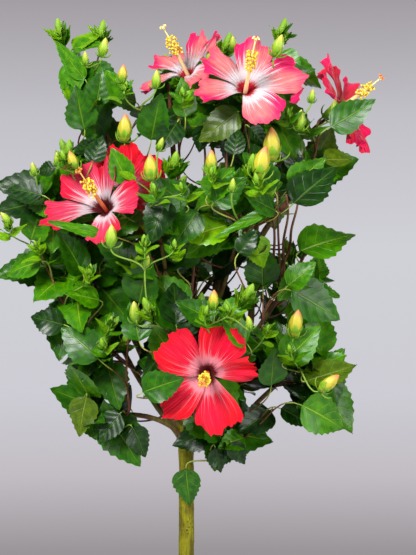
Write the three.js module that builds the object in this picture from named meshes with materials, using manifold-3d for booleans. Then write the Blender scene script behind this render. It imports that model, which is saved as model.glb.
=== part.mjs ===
// Hibiscus standard: a garden shrub grown on one clear stem, in a plain pot.
//
// The stem rises from the soil to a pruned head. One tapering bough for each
// mass of foliage leaves the head, or leaves another bough, and ends where it
// enters its mass. The middle of the crown is open, as it is on the plant.
//
// Frame: +Z up, -Y the plant's front, +X its right as seen from the front.
// The origin is the centre of the pot's flat underside. Units: millimetres.

import * as THREE from 'three';
import { mergeVertices } from 'three/addons/utils/BufferGeometryUtils.js';
import Module from 'manifold-3d';

const wasm = await Module();
wasm.setup();

// ---------------------------------------------------------------- dimensions

const GAP = 0.3; // clearance between solids that touch

const POT = {
  height: 240,
  baseRadius: 92,
  rimRadius: 130,
  wall: 4,
  floor: 5,
  rimBand: 30, // height of the thick band under the rim
  rimProud: 5, // how far the band stands out from the wall
  drainHoles: 4,
  drainRadius: 7,
  drainCircle: 60, // radius of the circle that the holes lie on
  sides: 32,
};

const SOIL = {
  belowRim: 22, // from the rim down to the flat patch round the stem
  patchRadius: 34,
  dip: 5, // how much lower the soil lies at the pot's wall
  lump: 1.6,
};

const STEM = {
  footRadius: 12,
  headRadius: 10,
  flare: 8, // extra radius at the soil, where the roots begin
  flareHeight: 26, // height in which the flare dies away
  flareLobes: 5,
  knob: 4, // swelling of the pruned head
  lean: 4, // how far the head stands to the right of the foot
  bow: 2.5, // how far the stem swings out on the way
  sides: 12,
  rings: 12,
};

const SOIL_TOP = POT.height - SOIL.belowRim;
const HEAD = new THREE.Vector3(STEM.lean, 0, 642); // the middle of the pruned head
const STEM_TOP = HEAD.z + 12;

// Each mass of foliage: the middle and half-sizes of its body, and the tips
// that its longest shoots reach beyond that body.
const MASSES = [
  {
    name: 'foliage_top_left',
    at: [-121, -28, 1106],
    size: [46, 58, 66],
    tips: [[-176, -25, 1207], [-133, -40, 1184], [-112, -20, 1206], [-166, -60, 1106], [-84, -10, 1172]],
  },
  {
    name: 'foliage_top_middle',
    at: [-18, -50, 1098],
    size: [60, 66, 66],
    tips: [[-26, -95, 1206], [14, -40, 1194], [-66, -90, 1140]],
  },
  {
    name: 'foliage_top_right',
    at: [98, -50, 1102],
    size: [64, 66, 68],
    tips: [[106, -105, 1186], [141, -30, 1205], [178, -80, 1140], [30, -105, 1112]],
  },
  {
    name: 'foliage_right_tip',
    at: [212, -14, 1084],
    size: [36, 44, 42],
    tips: [[186, -30, 1158], [222, -40, 1148], [283, -45, 1134], [274, -30, 1046], [174, -20, 1050]],
  },
  {
    name: 'foliage_right_shoulder',
    at: [168, -34, 992],
    size: [54, 60, 54],
    tips: [[246, -40, 1024], [200, -95, 960]],
  },
  {
    name: 'foliage_left_shoulder',
    at: [-146, -60, 966],
    size: [56, 70, 62],
    tips: [[-207, -60, 1018], [-254, -50, 990], [-250, -85, 946], [-158, -40, 1040], [-120, -140, 985]],
  },
  {
    name: 'foliage_left',
    at: [-148, -30, 866],
    size: [60, 80, 56],
    tips: [[-258, -40, 872], [-200, -95, 836], [-190, 40, 910]],
  },
  {
    name: 'foliage_left_lower',
    at: [-112, -46, 764],
    size: [62, 72, 54],
    tips: [[-224, -50, 806], [-150, -112, 742]],
  },
  {
    name: 'foliage_left_bottom',
    at: [-110, -30, 672],
    size: [44, 48, 36],
    tips: [[-182, -45, 706], [-170, -50, 646], [-120, -60, 622], [-58, -55, 604]],
  },
  {
    name: 'foliage_front_left',
    at: [-36, -126, 952],
    size: [72, 60, 66],
    tips: [[-60, -205, 930], [-6, -190, 1010]],
  },
  {
    name: 'foliage_front_right',
    at: [84, -126, 948],
    size: [64, 58, 68],
    tips: [[92, -198, 1005], [60, -200, 905]],
  },
  {
    name: 'foliage_front_low',
    at: [18, -118, 764],
    size: [84, 64, 88],
    tips: [[30, -206, 735], [-50, -190, 820], [92, -180, 836], [66, -130, 664], [-44, -130, 678]],
  },
  {
    name: 'foliage_right',
    at: [160, -40, 872],
    size: [50, 66, 58],
    tips: [[246, -60, 930], [228, -50, 806], [170, -126, 860]],
  },
  {
    name: 'foliage_right_lower',
    at: [166, -42, 746],
    size: [62, 68, 56],
    tips: [[245, -75, 744], [230, -50, 648], [160, -70, 652], [160, -124, 700]],
  },
  {
    name: 'foliage_skirt',
    at: [62, -50, 640],
    size: [44, 36, 30],
    tips: [[46, -70, 592], [88, -50, 592], [124, -55, 640], [3, -18, 550]],
  },
  {
    name: 'foliage_back_top',
    at: [30, 62, 1116],
    size: [92, 60, 62],
    tips: [[-30, 110, 1170], [66, 70, 1200], [110, 130, 1120]],
  },
  {
    name: 'foliage_back_left_shoulder',
    at: [-110, 92, 988],
    size: [74, 72, 74],
    tips: [[-180, 90, 1044], [-160, 160, 990], [-110, 180, 1020]],
  },
  {
    name: 'foliage_back_right_shoulder',
    at: [136, 90, 980],
    size: [74, 72, 72],
    tips: [[206, 90, 1026], [180, 165, 990], [130, 178, 1010]],
  },
  {
    name: 'foliage_back',
    at: [14, 138, 892],
    size: [80, 62, 78],
    tips: [[-20, 222, 910], [60, 218, 870]],
  },
  {
    name: 'foliage_back_left',
    at: [-122, 88, 838],
    size: [76, 72, 72],
    tips: [[-206, 110, 850], [-160, 180, 800], [-130, 120, 740]],
  },
  {
    name: 'foliage_back_right',
    at: [138, 84, 826],
    size: [74, 72, 76],
    tips: [[210, 110, 866], [180, 168, 810], [190, 110, 734]],
  },
  {
    name: 'foliage_back_low',
    at: [20, 88, 742],
    size: [84, 66, 56],
    tips: [[-40, 156, 706], [74, 164, 720], [20, 100, 664]],
  },
];

// Each bough: where it starts, a bend or two on its way, and the mass that it
// ends in. A start is a turn round the head and a height above its middle, or
// the parent bough and how far along that one it leaves.
const BOUGHS = [
  { mass: 'foliage_left_bottom', turn: 190, rise: -2, radius: 4.4, via: [[-36, -12, 664]] },
  {
    mass: 'foliage_left', turn: 165, rise: 4, radius: 5.6,
    via: [[-28, 6, 680], [-64, 18, 764], [-100, 0, 822]],
  },
  {
    mass: 'foliage_right_lower', turn: -18, rise: -14, radius: 4.6,
    via: [[58, -14, 640], [98, -24, 682]],
  },
  { mass: 'foliage_skirt', turn: -55, rise: -16, radius: 3.4, via: [] },
  {
    mass: 'foliage_right_shoulder', turn: 8, rise: 2, radius: 6,
    via: [[60, -4, 700], [96, 0, 800], [100, -4, 900]],
  },
  {
    mass: 'foliage_top_right', turn: 40, rise: 9, radius: 6,
    via: [[32, 0, 760], [56, 0, 900], [62, -10, 1000]],
  },
  {
    mass: 'foliage_top_middle', turn: 130, rise: 9, radius: 5.8,
    via: [[-12, 4, 760], [-22, 2, 900], [-12, -12, 1000]],
  },
  { mass: 'foliage_front_low', turn: -95, rise: 4, radius: 4.8, via: [[8, -36, 690]] },
  { mass: 'foliage_back_low', turn: 82, rise: -6, radius: 4.6, via: [[12, 36, 676]] },
  { mass: 'foliage_back', turn: 92, rise: 9, radius: 5.6, via: [[14, 10, 740], [16, 24, 806]] },
  {
    mass: 'foliage_back_left', turn: 138, rise: -10, radius: 4.8,
    via: [[-36, 20, 676], [-84, 44, 752]],
  },
  { mass: 'foliage_back_right', turn: 38, rise: -10, radius: 4.8, via: [[44, 16, 676], [98, 40, 752]] },
  { mass: 'foliage_left_lower', parent: 'foliage_left', along: 0.3, radius: 3.8, via: [] },
  {
    mass: 'foliage_left_shoulder', parent: 'foliage_left', along: 0.62, radius: 4,
    via: [[-88, -12, 890]],
  },
  {
    mass: 'foliage_top_left', parent: 'foliage_top_middle', along: 0.42, radius: 4.2,
    via: [[-66, 0, 930], [-92, -10, 1010]],
  },
  {
    mass: 'foliage_front_left', parent: 'foliage_top_middle', along: 0.3, radius: 3.8,
    via: [[-22, -44, 860]],
  },
  {
    mass: 'foliage_front_right', parent: 'foliage_top_right', along: 0.3, radius: 3.8,
    via: [[60, -40, 860]],
  },
  { mass: 'foliage_right', parent: 'foliage_right_shoulder', along: 0.36, radius: 3.8, via: [] },
  {
    mass: 'foliage_right_tip', parent: 'foliage_right_shoulder', along: 0.7, radius: 3.8,
    via: [[114, 18, 985], [160, 20, 1052]],
  },
  {
    mass: 'foliage_back_top', parent: 'foliage_top_right', along: 0.5, radius: 4,
    via: [[50, 26, 980]],
  },
  {
    mass: 'foliage_back_left_shoulder', parent: 'foliage_back', along: 0.5, radius: 3.8,
    via: [[-30, 50, 890]],
  },
  {
    mass: 'foliage_back_right_shoulder', parent: 'foliage_back', along: 0.6, radius: 3.8,
    via: [[70, 54, 896]],
  },
];

const BOUGH_TIP_SHARE = 0.62; // a bough's radius where it enters its mass, as a share of its first
const BOUGH_ROOT = 4; // how far from the middle of the head a bough begins
const BOUGH_SIDES = 6;
const BOUGH_STEP = 46; // length of bough between two rings

const MASS_DETAIL = 3; // subdivision of the icosahedron behind a mass
const BACK_DETAIL = 2; // and behind the rounder masses of the plant's back
const MASS_UNEVEN = 0.12; // depth of the unevenness, as a share of the radius
const TIP_SHARPNESS = 22; // how narrow the bulge is that carries a tip
const MASS_GAP = 3; // air between two neighbouring masses

// ----------------------------------------------------------------- materials

const finish = (color, roughness) => new THREE.MeshStandardMaterial({ color, roughness, metalness: 0 });
const CLAY = finish(0xb5623f, 0.8);
const EARTH = finish(0x3a2a1e, 0.95);
const STEM_BARK = finish(0x8a8a26, 0.75);
const BOUGH_BARK = finish(0x6a4a34, 0.75);
const LEAVES = finish(0x3f7d2a, 0.55);

// -------------------------------------------------------------- solid helpers

// A closed geometry as a manifold solid.
function toSolid(geometry) {
  const bare = new THREE.BufferGeometry();
  bare.setAttribute('position', geometry.getAttribute('position').clone());
  if (geometry.index) bare.setIndex(geometry.index.clone());
  const merged = mergeVertices(bare, 1e-3);
  return new wasm.Manifold(
    new wasm.Mesh({
      numProp: 3,
      vertProperties: merged.attributes.position.array,
      triVerts: new Uint32Array(merged.index.array),
    }),
  );
}

// A manifold solid as a flat-shaded geometry.
function toGeometry(solid) {
  const mesh = solid.getMesh();
  const positions = new Float32Array(mesh.numVert * 3);
  for (let i = 0; i < mesh.numVert; i++) {
    positions.set(mesh.vertProperties.subarray(i * mesh.numProp, i * mesh.numProp + 3), i * 3);
  }
  const geometry = new THREE.BufferGeometry()
    .setAttribute('position', new THREE.BufferAttribute(positions, 3))
    .setIndex(new THREE.BufferAttribute(new Uint32Array(mesh.triVerts), 1))
    .toNonIndexed();
  geometry.computeVertexNormals();
  return geometry;
}

// The largest of the separate bodies that a cut leaves.
function largestBody(solid) {
  return solid.decompose().reduce((best, body) => (body.volume() > best.volume() ? body : best));
}

// A closed tube from rings of points, each ring given anticlockwise about the
// way the tube runs.
function closedTube(rings) {
  const sides = rings[0].length;
  const positions = rings.flat().flatMap((p) => [p.x, p.y, p.z]);
  const middles = [rings[0], rings[rings.length - 1]].map((ring) =>
    ring.reduce((sum, p) => sum.add(p), new THREE.Vector3()).divideScalar(sides),
  );
  positions.push(...middles.flatMap((p) => [p.x, p.y, p.z]));
  const first = rings.length * sides;
  const last = first + 1;
  const top = (rings.length - 1) * sides;
  const index = [];
  for (let k = 0; k < sides; k++) {
    const next = (k + 1) % sides;
    for (let i = 0; i < rings.length - 1; i++) {
      const low = i * sides;
      const high = low + sides;
      index.push(low + k, low + next, high + next, low + k, high + next, high + k);
    }
    index.push(first, next, k, last, top + k, top + next);
  }
  return new THREE.BufferGeometry()
    .setAttribute('position', new THREE.Float32BufferAttribute(positions, 3))
    .setIndex(index);
}

// ----------------------------------------------------------------- pot, soil

// Radius of the pot's outer wall at a height.
const potWall = (z) => THREE.MathUtils.lerp(POT.baseRadius, POT.rimRadius - POT.rimProud, z / POT.height);

function potGeometry() {
  const { height, wall, floor, rimBand, rimProud } = POT;
  const bandFoot = height - rimBand;
  const profile = [
    [0, 0],
    [potWall(0), 0],
    [potWall(bandFoot), bandFoot],
    [potWall(bandFoot) + rimProud, bandFoot + rimProud],
    [POT.rimRadius, height - 3],
    [POT.rimRadius - 3, height],
    [potWall(height) - wall, height],
    [potWall(floor) - wall, floor],
    [0, floor],
  ].map(([r, z]) => new THREE.Vector2(r, z));
  let pot = toSolid(new THREE.LatheGeometry(profile, POT.sides).rotateX(Math.PI / 2));
  for (let i = 0; i < POT.drainHoles; i++) {
    const turn = (2 * Math.PI * (i + 0.5)) / POT.drainHoles;
    const drill = new THREE.CylinderGeometry(POT.drainRadius, POT.drainRadius, 4 * floor, 8)
      .rotateX(Math.PI / 2)
      .translate(POT.drainCircle * Math.cos(turn), POT.drainCircle * Math.sin(turn), 0);
    pot = pot.subtract(toSolid(drill));
  }
  return toGeometry(pot);
}

function soilGeometry() {
  const inside = (z) => potWall(z) - POT.wall - 2 * GAP;
  const bottom = POT.floor + GAP;
  const edge = SOIL_TOP - SOIL.dip;
  const between = (SOIL.patchRadius + inside(edge)) / 2;
  const profile = [
    [0, bottom],
    [inside(bottom), bottom],
    [inside(edge), edge],
    [between, SOIL_TOP - SOIL.dip / 2],
    [SOIL.patchRadius, SOIL_TOP],
    [0, SOIL_TOP],
  ].map(([r, z]) => new THREE.Vector2(r, z));
  const geometry = new THREE.LatheGeometry(profile, POT.sides).rotateX(Math.PI / 2);
  const position = geometry.getAttribute('position');
  for (let i = 0; i < position.count; i++) {
    const [x, y, z] = [position.getX(i), position.getY(i), position.getZ(i)];
    const r = Math.hypot(x, y);
    if (z > bottom + 1 && r > SOIL.patchRadius + 1) {
      position.setZ(i, z + SOIL.lump * (Math.sin(0.11 * x + 1) + Math.cos(0.13 * y)));
    }
  }
  return toGeometry(toSolid(geometry));
}

// ---------------------------------------------------------------------- stem

// Middle line of the stem: a slow bow to the right and a slight sway in depth.
function stemMiddle(share) {
  const bow = STEM.bow * Math.sin(Math.PI * share);
  return new THREE.Vector3(STEM.lean * share + bow, bow * Math.cos(Math.PI * share), 0);
}

function stemGeometry(grow = 0) {
  const foot = SOIL_TOP + GAP;
  const rings = [];
  for (let i = 0; i <= STEM.rings; i++) {
    const share = (i / STEM.rings) ** 1.5; // rings stand closer together in the flare
    const z = THREE.MathUtils.lerp(foot, STEM_TOP, share);
    const flare = STEM.flare * Math.exp(-(z - foot) / STEM.flareHeight);
    const knob = STEM.knob * Math.exp(-(((z - HEAD.z) / 14) ** 2));
    const middle = stemMiddle(share).setZ(z);
    const ring = [];
    for (let k = 0; k < STEM.sides; k++) {
      const turn = (2 * Math.PI * k) / STEM.sides;
      const lobes = 1 + 0.45 * Math.cos(STEM.flareLobes * turn + 0.8);
      const radius =
        THREE.MathUtils.lerp(STEM.footRadius, STEM.headRadius, share) +
        flare * lobes +
        knob * (1 + 0.3 * Math.sin(3 * turn)) +
        grow;
      ring.push(middle.clone().add(new THREE.Vector3(radius * Math.cos(turn), radius * Math.sin(turn), 0)));
    }
    rings.push(ring);
  }
  return closedTube(rings);
}

// ------------------------------------------------------------------- foliage

// A smooth, repeatable unevenness between -1 and 1 over all directions.
function uneven(direction, seed) {
  const { x, y, z } = direction;
  const first = Math.sin(3.1 * x + 1.7 * y + seed);
  const second = Math.sin(2.9 * y - 2.3 * z + 2.1 * seed);
  const third = Math.sin(3.7 * z + 2.6 * x - 1.3 * seed);
  return (first + second + third) / 3;
}

// How far a mass may reach one way before it meets a neighbour's share of the
// crown: the plane between two masses divides the way between them by size.
function roomFor(mass, direction) {
  let room = Infinity;
  for (const other of MASSES) {
    if (other === mass) continue;
    const toOther = other.middle.clone().sub(mass.middle);
    const distance = toOther.length();
    const towards = direction.dot(toOther) / distance;
    const plane = (distance * mass.reach) / (mass.reach + other.reach) - MASS_GAP / 2;
    if (towards > 1e-6) room = Math.min(room, plane / towards);
  }
  return room;
}

// Distance from a mass's middle to its surface one way.
function radiusTowards(mass, direction) {
  const [a, b, c] = mass.size;
  const body = 1 / Math.hypot(direction.x / a, direction.y / b, direction.z / c);
  let radius = body * (1 + MASS_UNEVEN * uneven(direction, mass.seed));
  for (const tip of mass.tipArms) {
    const beyond = Math.max(0, tip.length - body);
    radius = Math.max(radius, body + beyond * Math.exp(TIP_SHARPNESS * (direction.dot(tip.direction) - 1)));
  }
  return Math.min(radius, roomFor(mass, direction));
}

for (const [i, mass] of MASSES.entries()) {
  mass.middle = new THREE.Vector3(...mass.at);
  mass.reach = (mass.size[0] + mass.size[1] + mass.size[2]) / 3;
  mass.seed = 1.7 * i + 0.4;
  mass.tipArms = mass.tips.map((tip) => {
    const arm = new THREE.Vector3(...tip).sub(mass.middle);
    return { length: arm.length(), direction: arm.normalize() };
  });
}

function massGeometry(mass, grow = 0) {
  const geometry = mergeVertices(bareSphere(mass.at[1] > 0 ? BACK_DETAIL : MASS_DETAIL));
  const position = geometry.getAttribute('position');
  const directions = Array.from({ length: position.count }, (_, i) =>
    new THREE.Vector3().fromBufferAttribute(position, i).normalize(),
  );
  for (const { direction } of mass.tipArms) {
    // The corner nearest each tip is turned to point straight at it.
    directions.reduce((best, d) => (d.dot(direction) > best.dot(direction) ? d : best)).copy(direction);
  }
  directions.forEach((direction, i) => {
    const place = mass.middle.clone().addScaledVector(direction, radiusTowards(mass, direction) + grow);
    position.setXYZ(i, place.x, place.y, place.z);
  });
  return geometry;
}

function bareSphere(detail) {
  const sphere = new THREE.IcosahedronGeometry(1, detail);
  sphere.deleteAttribute('normal');
  sphere.deleteAttribute('uv');
  return sphere;
}

// -------------------------------------------------------------------- boughs

// The bough's middle line, from inside the head or its parent to the middle of
// its mass.
function boughCurve(bough) {
  const mass = MASSES.find((m) => m.name === bough.mass);
  const via = bough.via.map((p) => new THREE.Vector3(...p));
  return new THREE.CatmullRomCurve3([boughStart(bough), ...via, mass.middle], false, 'centripetal');
}

function boughStart(bough) {
  if (bough.parent) return boughs.get(bough.parent).curve.getPointAt(bough.along);
  const turn = THREE.MathUtils.degToRad(bough.turn);
  const outwards = new THREE.Vector3(Math.cos(turn), Math.sin(turn), 0);
  return HEAD.clone().addScaledVector(outwards, BOUGH_ROOT).setZ(HEAD.z + bough.rise);
}

function boughGeometry(curve, radius, grow = 0) {
  const steps = Math.max(4, Math.round(curve.getLength() / BOUGH_STEP));
  const frames = curve.computeFrenetFrames(steps, false);
  const rings = [];
  for (let i = 0; i <= steps; i++) {
    const share = i / steps;
    const middle = curve.getPointAt(share);
    const r = radius * THREE.MathUtils.lerp(1, BOUGH_TIP_SHARE, share) + grow;
    const ring = [];
    for (let k = 0; k < BOUGH_SIDES; k++) {
      const turn = (2 * Math.PI * k) / BOUGH_SIDES;
      ring.push(
        middle
          .clone()
          .addScaledVector(frames.normals[i], r * Math.cos(turn))
          .addScaledVector(frames.binormals[i], r * Math.sin(turn)),
      );
    }
    rings.push(ring);
  }
  return closedTube(rings);
}

// ------------------------------------------------------------------ assembly

const plant = new THREE.Group();

function addNode(name, geometry, material) {
  const mesh = new THREE.Mesh(geometry, material);
  mesh.name = name;
  plant.add(mesh);
}

addNode('pot', potGeometry(), CLAY);
addNode('soil', soilGeometry(), EARTH);
addNode('stem', stemGeometry(), STEM_BARK);

// Boughs are cut back from the stem, from the boughs before them and from the
// mass that they end in.
const boughs = new Map();
const woodWithRoom = [toSolid(stemGeometry(GAP))];
for (const bough of BOUGHS) {
  const mass = MASSES.find((m) => m.name === bough.mass);
  const curve = boughCurve(bough);
  let solid = toSolid(boughGeometry(curve, bough.radius));
  for (const wood of woodWithRoom) solid = solid.subtract(wood);
  solid = largestBody(solid.subtract(toSolid(massGeometry(mass, GAP))));
  boughs.set(bough.mass, { curve, radius: bough.radius });
  woodWithRoom.push(toSolid(boughGeometry(curve, bough.radius, GAP)));
  addNode(bough.mass.replace('foliage', 'bough'), toGeometry(solid), BOUGH_BARK);
}

// Masses are cut round the stem and round the boughs that pass them by.
for (const mass of MASSES) {
  let solid = toSolid(massGeometry(mass)).subtract(toSolid(stemGeometry(2 * GAP)));
  for (const [target, { curve, radius }] of boughs) {
    if (target !== mass.name) solid = solid.subtract(toSolid(boughGeometry(curve, radius, 2 * GAP)));
  }
  addNode(mass.name, toGeometry(largestBody(solid)), LEAVES);
}

export default plant;
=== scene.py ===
"""A potted hibiscus standard: a small tree on one clear stem, with large red and coral blooms.

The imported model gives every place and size. Each mass of foliage is a closed solid there. Here
the bough that ends in it grows on: a leader and seeded shoots fill the solid, shoots carry leaves
in a spiral, and no leaf reaches past the solids, so that the crown keeps its outline and gaps.
A solid's peaks that point up become shoots with buds, and the others the tips of large leaves.
Lengths are in metres unless a name says otherwise.
"""

import functools
import math
import random

import bpy
import numpy as np
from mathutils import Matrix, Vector, noise
from mathutils.bvhtree import BVHTree


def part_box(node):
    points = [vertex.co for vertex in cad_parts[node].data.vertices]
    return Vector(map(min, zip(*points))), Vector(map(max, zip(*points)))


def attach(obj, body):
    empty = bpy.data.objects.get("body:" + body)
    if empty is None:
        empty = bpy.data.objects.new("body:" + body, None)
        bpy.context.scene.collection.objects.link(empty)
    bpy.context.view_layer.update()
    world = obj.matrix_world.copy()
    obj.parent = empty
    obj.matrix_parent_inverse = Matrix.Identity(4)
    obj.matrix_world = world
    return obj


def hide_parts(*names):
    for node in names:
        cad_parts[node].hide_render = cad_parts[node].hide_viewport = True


UP = np.array([0.0, 0.0, 1.0])
FRONT = np.array([0.0, -1.0, 0.0])
RIGHT = np.array([1.0, 0.0, 0.0])
FULL_TURN = 2 * math.pi
GOLDEN_ANGLE = math.radians(137.5)

# Shoots
SHOOT_SPACING = 0.078  # how far apart on a mass's surface its shoots come out
END_THINNING = 0.45  # how much wider that is in the crown's highest and lowest masses
SHOOT_RADIUS = 0.0018
SHOOT_TIP_RADIUS = 0.0009
LEAF_INSET = 0.034  # how far a leafy shoot stops short of the mass's surface
SPIRE_INSET = 0.016  # the same for a shoot that carries buds
YOUNG_INTERNODE = 0.012  # from leaf to leaf at a shoot's tip
OLD_INTERNODE = 0.017  # and further down
PEAK_HEIGHT = 1.16  # a peak stands this much further out than a mass's surface mostly does
PEAK_REACH = math.cos(math.radians(30))  # and further than all within this angle of it
SHOOT_ROOM = 0.82  # cosine of the least angle between two of a mass's shoots
INWARDS_ROOM = 0.80  # and of that between a shoot and the way to the crown's middle
SPIRE_RISE = 0.45  # how steeply a peak points up if its shoot carries buds
FLOWERING_SHARE = 0.7  # of the other shoots that point up
BOUGH_STEP = 0.0026  # from ring to ring of a bough's bark

# Leaves
LEAF_LENGTH = 0.077
LEAF_WIDTH_SHARE = 0.70
PETIOLE_LENGTH = 0.022
PETIOLE_RADIUS = 0.0008
LEAF_ROWS = 17
LEAF_COLUMNS = 7
LEAF_SLACK = 0.004  # how far a leaf's tip may stand out of the crown's solids
LEAF_ELBOW_ROOM = 0.29  # how near two leaves' middles come, as a share of their length
LEAST_LEAF = 0.050  # a leaf that would have to be shorter than this is left out
MOST_LEAVES = 4000  # room for so many leaves' middles

# How much wider apart shoots are in the masses that the sky shows through.
OPEN_MASSES = {
    "foliage_left_bottom": 2.2,
    "foliage_left_lower": 1.35,
    "foliage_right_lower": 1.35,
    "foliage_skirt": 1.3,
    "foliage_left": 1.15,
}

# The space inside the crown, as shares of its box, where side shoots on the boughs bear leaves
INSIDE_SHARES = (0.72, 0.66, 0.64)
SIDE_SHOOT_SPACING = 0.034

# Gaps that run right through the crown along the line of sight: shares to the right and up the
# crown's box, and a radius. No leaf that grows by the rule starts, ends or has its middle in one.
GAPS = [
    (0.66, 0.27, 0.026), (0.74, 0.00, 0.020), (0.74, -0.28, 0.018), (0.88, 0.30, 0.030),
    (-0.76, -0.12, 0.016), (-0.75, -0.33, 0.022), (-0.70, 0.58, 0.018), (-0.49, 0.85, 0.011),
    (-0.38, 0.90, 0.012), (-0.64, 0.82, 0.010), (-0.03, 0.54, 0.009), (0.16, 0.52, 0.008),
    (0.60, 0.74, 0.014), (-0.90, 0.14, 0.014), (-0.46, -0.48, 0.014), (-0.45, -0.55, 0.010),
    (-0.71, -0.50, 0.022), (0.83, 0.15, 0.024),
]

# Small spots of sky between the leaves, in the same way. No leaf lies across one.
SKY_SPOTS = [
    (0.51, 0.25, 0.004), (0.51, 0.17, 0.005), (0.48, 0.09, 0.005), (0.56, 0.01, 0.004),
    (0.31, 0.16, 0.003), (0.08, 0.01, 0.003), (0.23, -0.05, 0.004), (0.32, -0.19, 0.003),
    (0.51, -0.17, 0.004), (0.02, -0.11, 0.004), (-0.27, -0.33, 0.005), (0.40, 0.38, 0.003),
    (0.11, 0.44, 0.005), (-0.05, 0.47, 0.004),
]

# Brown shoots that stand upright behind the front leaves: the foot's and the top's shares to the
# right and up. Few leaves hang before them.
UPRIGHTS = [
    (0.41, 0.02, 0.41, 0.34), (0.45, -0.05, 0.43, 0.33), (0.47, 0.01, 0.48, 0.29),
    (0.50, 0.08, 0.53, 0.26), (0.17, 0.34, 0.18, 0.60), (0.29, 0.36, 0.29, 0.60),
    (0.06, 0.34, 0.06, 0.56), (-0.07, 0.30, -0.06, 0.62), (0.00, -0.11, 0.03, 0.27),
    (-0.17, -0.26, -0.20, 0.02), (-0.28, 0.02, -0.31, 0.24), (-0.62, -0.22, -0.78, 0.08),
    (-0.31, -0.60, -0.33, -0.30), (0.60, 0.40, 0.65, 0.60),
]
UPRIGHT_BACK = -0.34  # how far back they stand, as a share of the crown's box
UPRIGHT_RADIUS = 0.0023
UPRIGHT_CLEARANCE = 0.011  # how near before them a leaf's middle is left out
UPRIGHT_SHOWN = 0.85  # for this share of the leaves

# Blooms
PETAL_ROWS = 26
PETAL_COLUMNS = 29
PETAL_WIDTH_SHARE = 0.74
COLUMN_LENGTH = 0.074
STAMENS = 60
STAMEN_BAND = (0.44, 0.76)  # the share of the column that carries stamens
BRACTS = 5  # narrow leaves round the foot of each bud and bloom
BRACT_TAPER = np.array([0.8, 1.0, 0.9, 0.6, 0.12])  # their width along their length
BLOOM_CLEARANCE = 0.080  # radius of the space before a bloom that leaves keep out of
BUD_STANDS_OUT = 0.018  # how far before the crown's front the larger buds are
BUD_CLEARANCE = 0.017  # radius of the space before a larger bud that leaves keep out of
CLEARED_BUD = 0.024  # buds longer than this have that space
FINE_BUD = 0.022  # buds longer than this have a finer mesh
FINE_CALYX = 0.0055  # and so have calyces wider than this

# Stem, soil and studio
STEM_ROWS, STEM_SIDES = 190, 56
SOIL_ROWS, SOIL_COLUMNS = 70, 150
CRUMBS = 420  # bark chips and white grit that lie on the soil
GRIT_SHARE = 0.22
POT_SIDES = 128
DRAIN_HOLE = 0.009  # radius of the hole in the middle of the pot's floor
POT_WOBBLE = 0.0006  # how far the pot is out of round
VIEW_MIDDLE = (0.083, 0.0, -0.056)  # in shares of the crown's box
CAMERA_FRONT = 2.55  # how far before the plant's axis the camera stands
CAMERA_LENS = 118.1
FLOOR_RADIUS = 2.4


# ---------------------------------------------------------------- small tools


def unit(vector):
    vector = np.asarray(vector, float)
    return vector / max(np.linalg.norm(vector), 1e-12)


def across(vector, axis):
    """The part of vector that is square to axis, as a unit vector."""
    return unit(vector - axis * np.dot(vector, axis))


def turned(vector, axis, angle):
    """vector turned about a unit axis."""
    aside = np.cross(axis, vector)
    along = axis * np.dot(axis, vector)
    return along + (vector - along) * math.cos(angle) + aside * math.sin(angle)


def round_about(side, other, turn):
    """The way at an angle from side towards other, or one for each of several angles."""
    turn = np.asarray(turn, float)[..., None]
    return side * np.cos(turn) + other * np.sin(turn)


def turns(count):
    """Angles spread evenly round a full circle."""
    return np.linspace(0.0, FULL_TURN, count, endpoint=False)


def smoothstep(low, high, value):
    share = np.clip((value - low) / (high - low), 0.0, 1.0)
    return share * share * (3.0 - 2.0 * share)


def bezier(start, handle_a, handle_b, end, steps):
    t = np.linspace(0.0, 1.0, steps)[:, None]
    s = 1.0 - t
    return s**3 * start + 3 * s * s * t * handle_a + 3 * s * t * t * handle_b + t**3 * end


def sweep(start, leave, end, arrive, steps, first=0.4, last=0.35):
    """A curve that leaves start the way of leave and comes to end the way of arrive."""
    span = np.linalg.norm(end - start)
    return bezier(start, start + leave * span * first, end - arrive * span * last, end, steps)


def reached_along(line):
    """How far along a line each of its points lies."""
    steps = np.linalg.norm(np.diff(line, axis=0), axis=1)
    return np.concatenate([[0.0], np.cumsum(steps)])


def places_at(at, reached, line):
    """Places on a line whose points lie at the distances reached."""
    return np.stack([np.interp(at, reached, line[:, k]) for k in range(3)], axis=-1)


def rgb(red, green, blue):
    """A screen colour, 0 to 255, as the linear colour that shaders take."""
    return tuple((value / 255.0) ** 2.2 for value in (red, green, blue)) + (1.0,)


def lumps(place, scale):
    """Smooth noise from -1 to 1 at a place."""
    return noise.noise(Vector(place * scale))


@functools.lru_cache(None)
def grid(rows, columns, closed):
    """A grid's quads, row by row, and each point's mark. Closed joins the last column to the first."""
    spans = columns if closed else columns - 1
    row, column = np.meshgrid(np.arange(rows - 1), np.arange(spans), indexing="ij")
    beside = (column + 1) % columns
    low, high = row * columns, (row + 1) * columns
    quads = np.stack([low + column, high + column, high + beside, low + beside], axis=-1)
    over, along = np.meshgrid(np.arange(columns) / spans, np.linspace(0.0, 1.0, rows))
    return quads.reshape(-1, 4), np.stack([over.ravel(), along.ravel()], axis=1)


def fan(ring, middle):
    """Triangles between a ring of points and the one in its middle."""
    return np.stack([np.full(len(ring), middle), np.roll(ring, -1), ring], axis=1)


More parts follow.
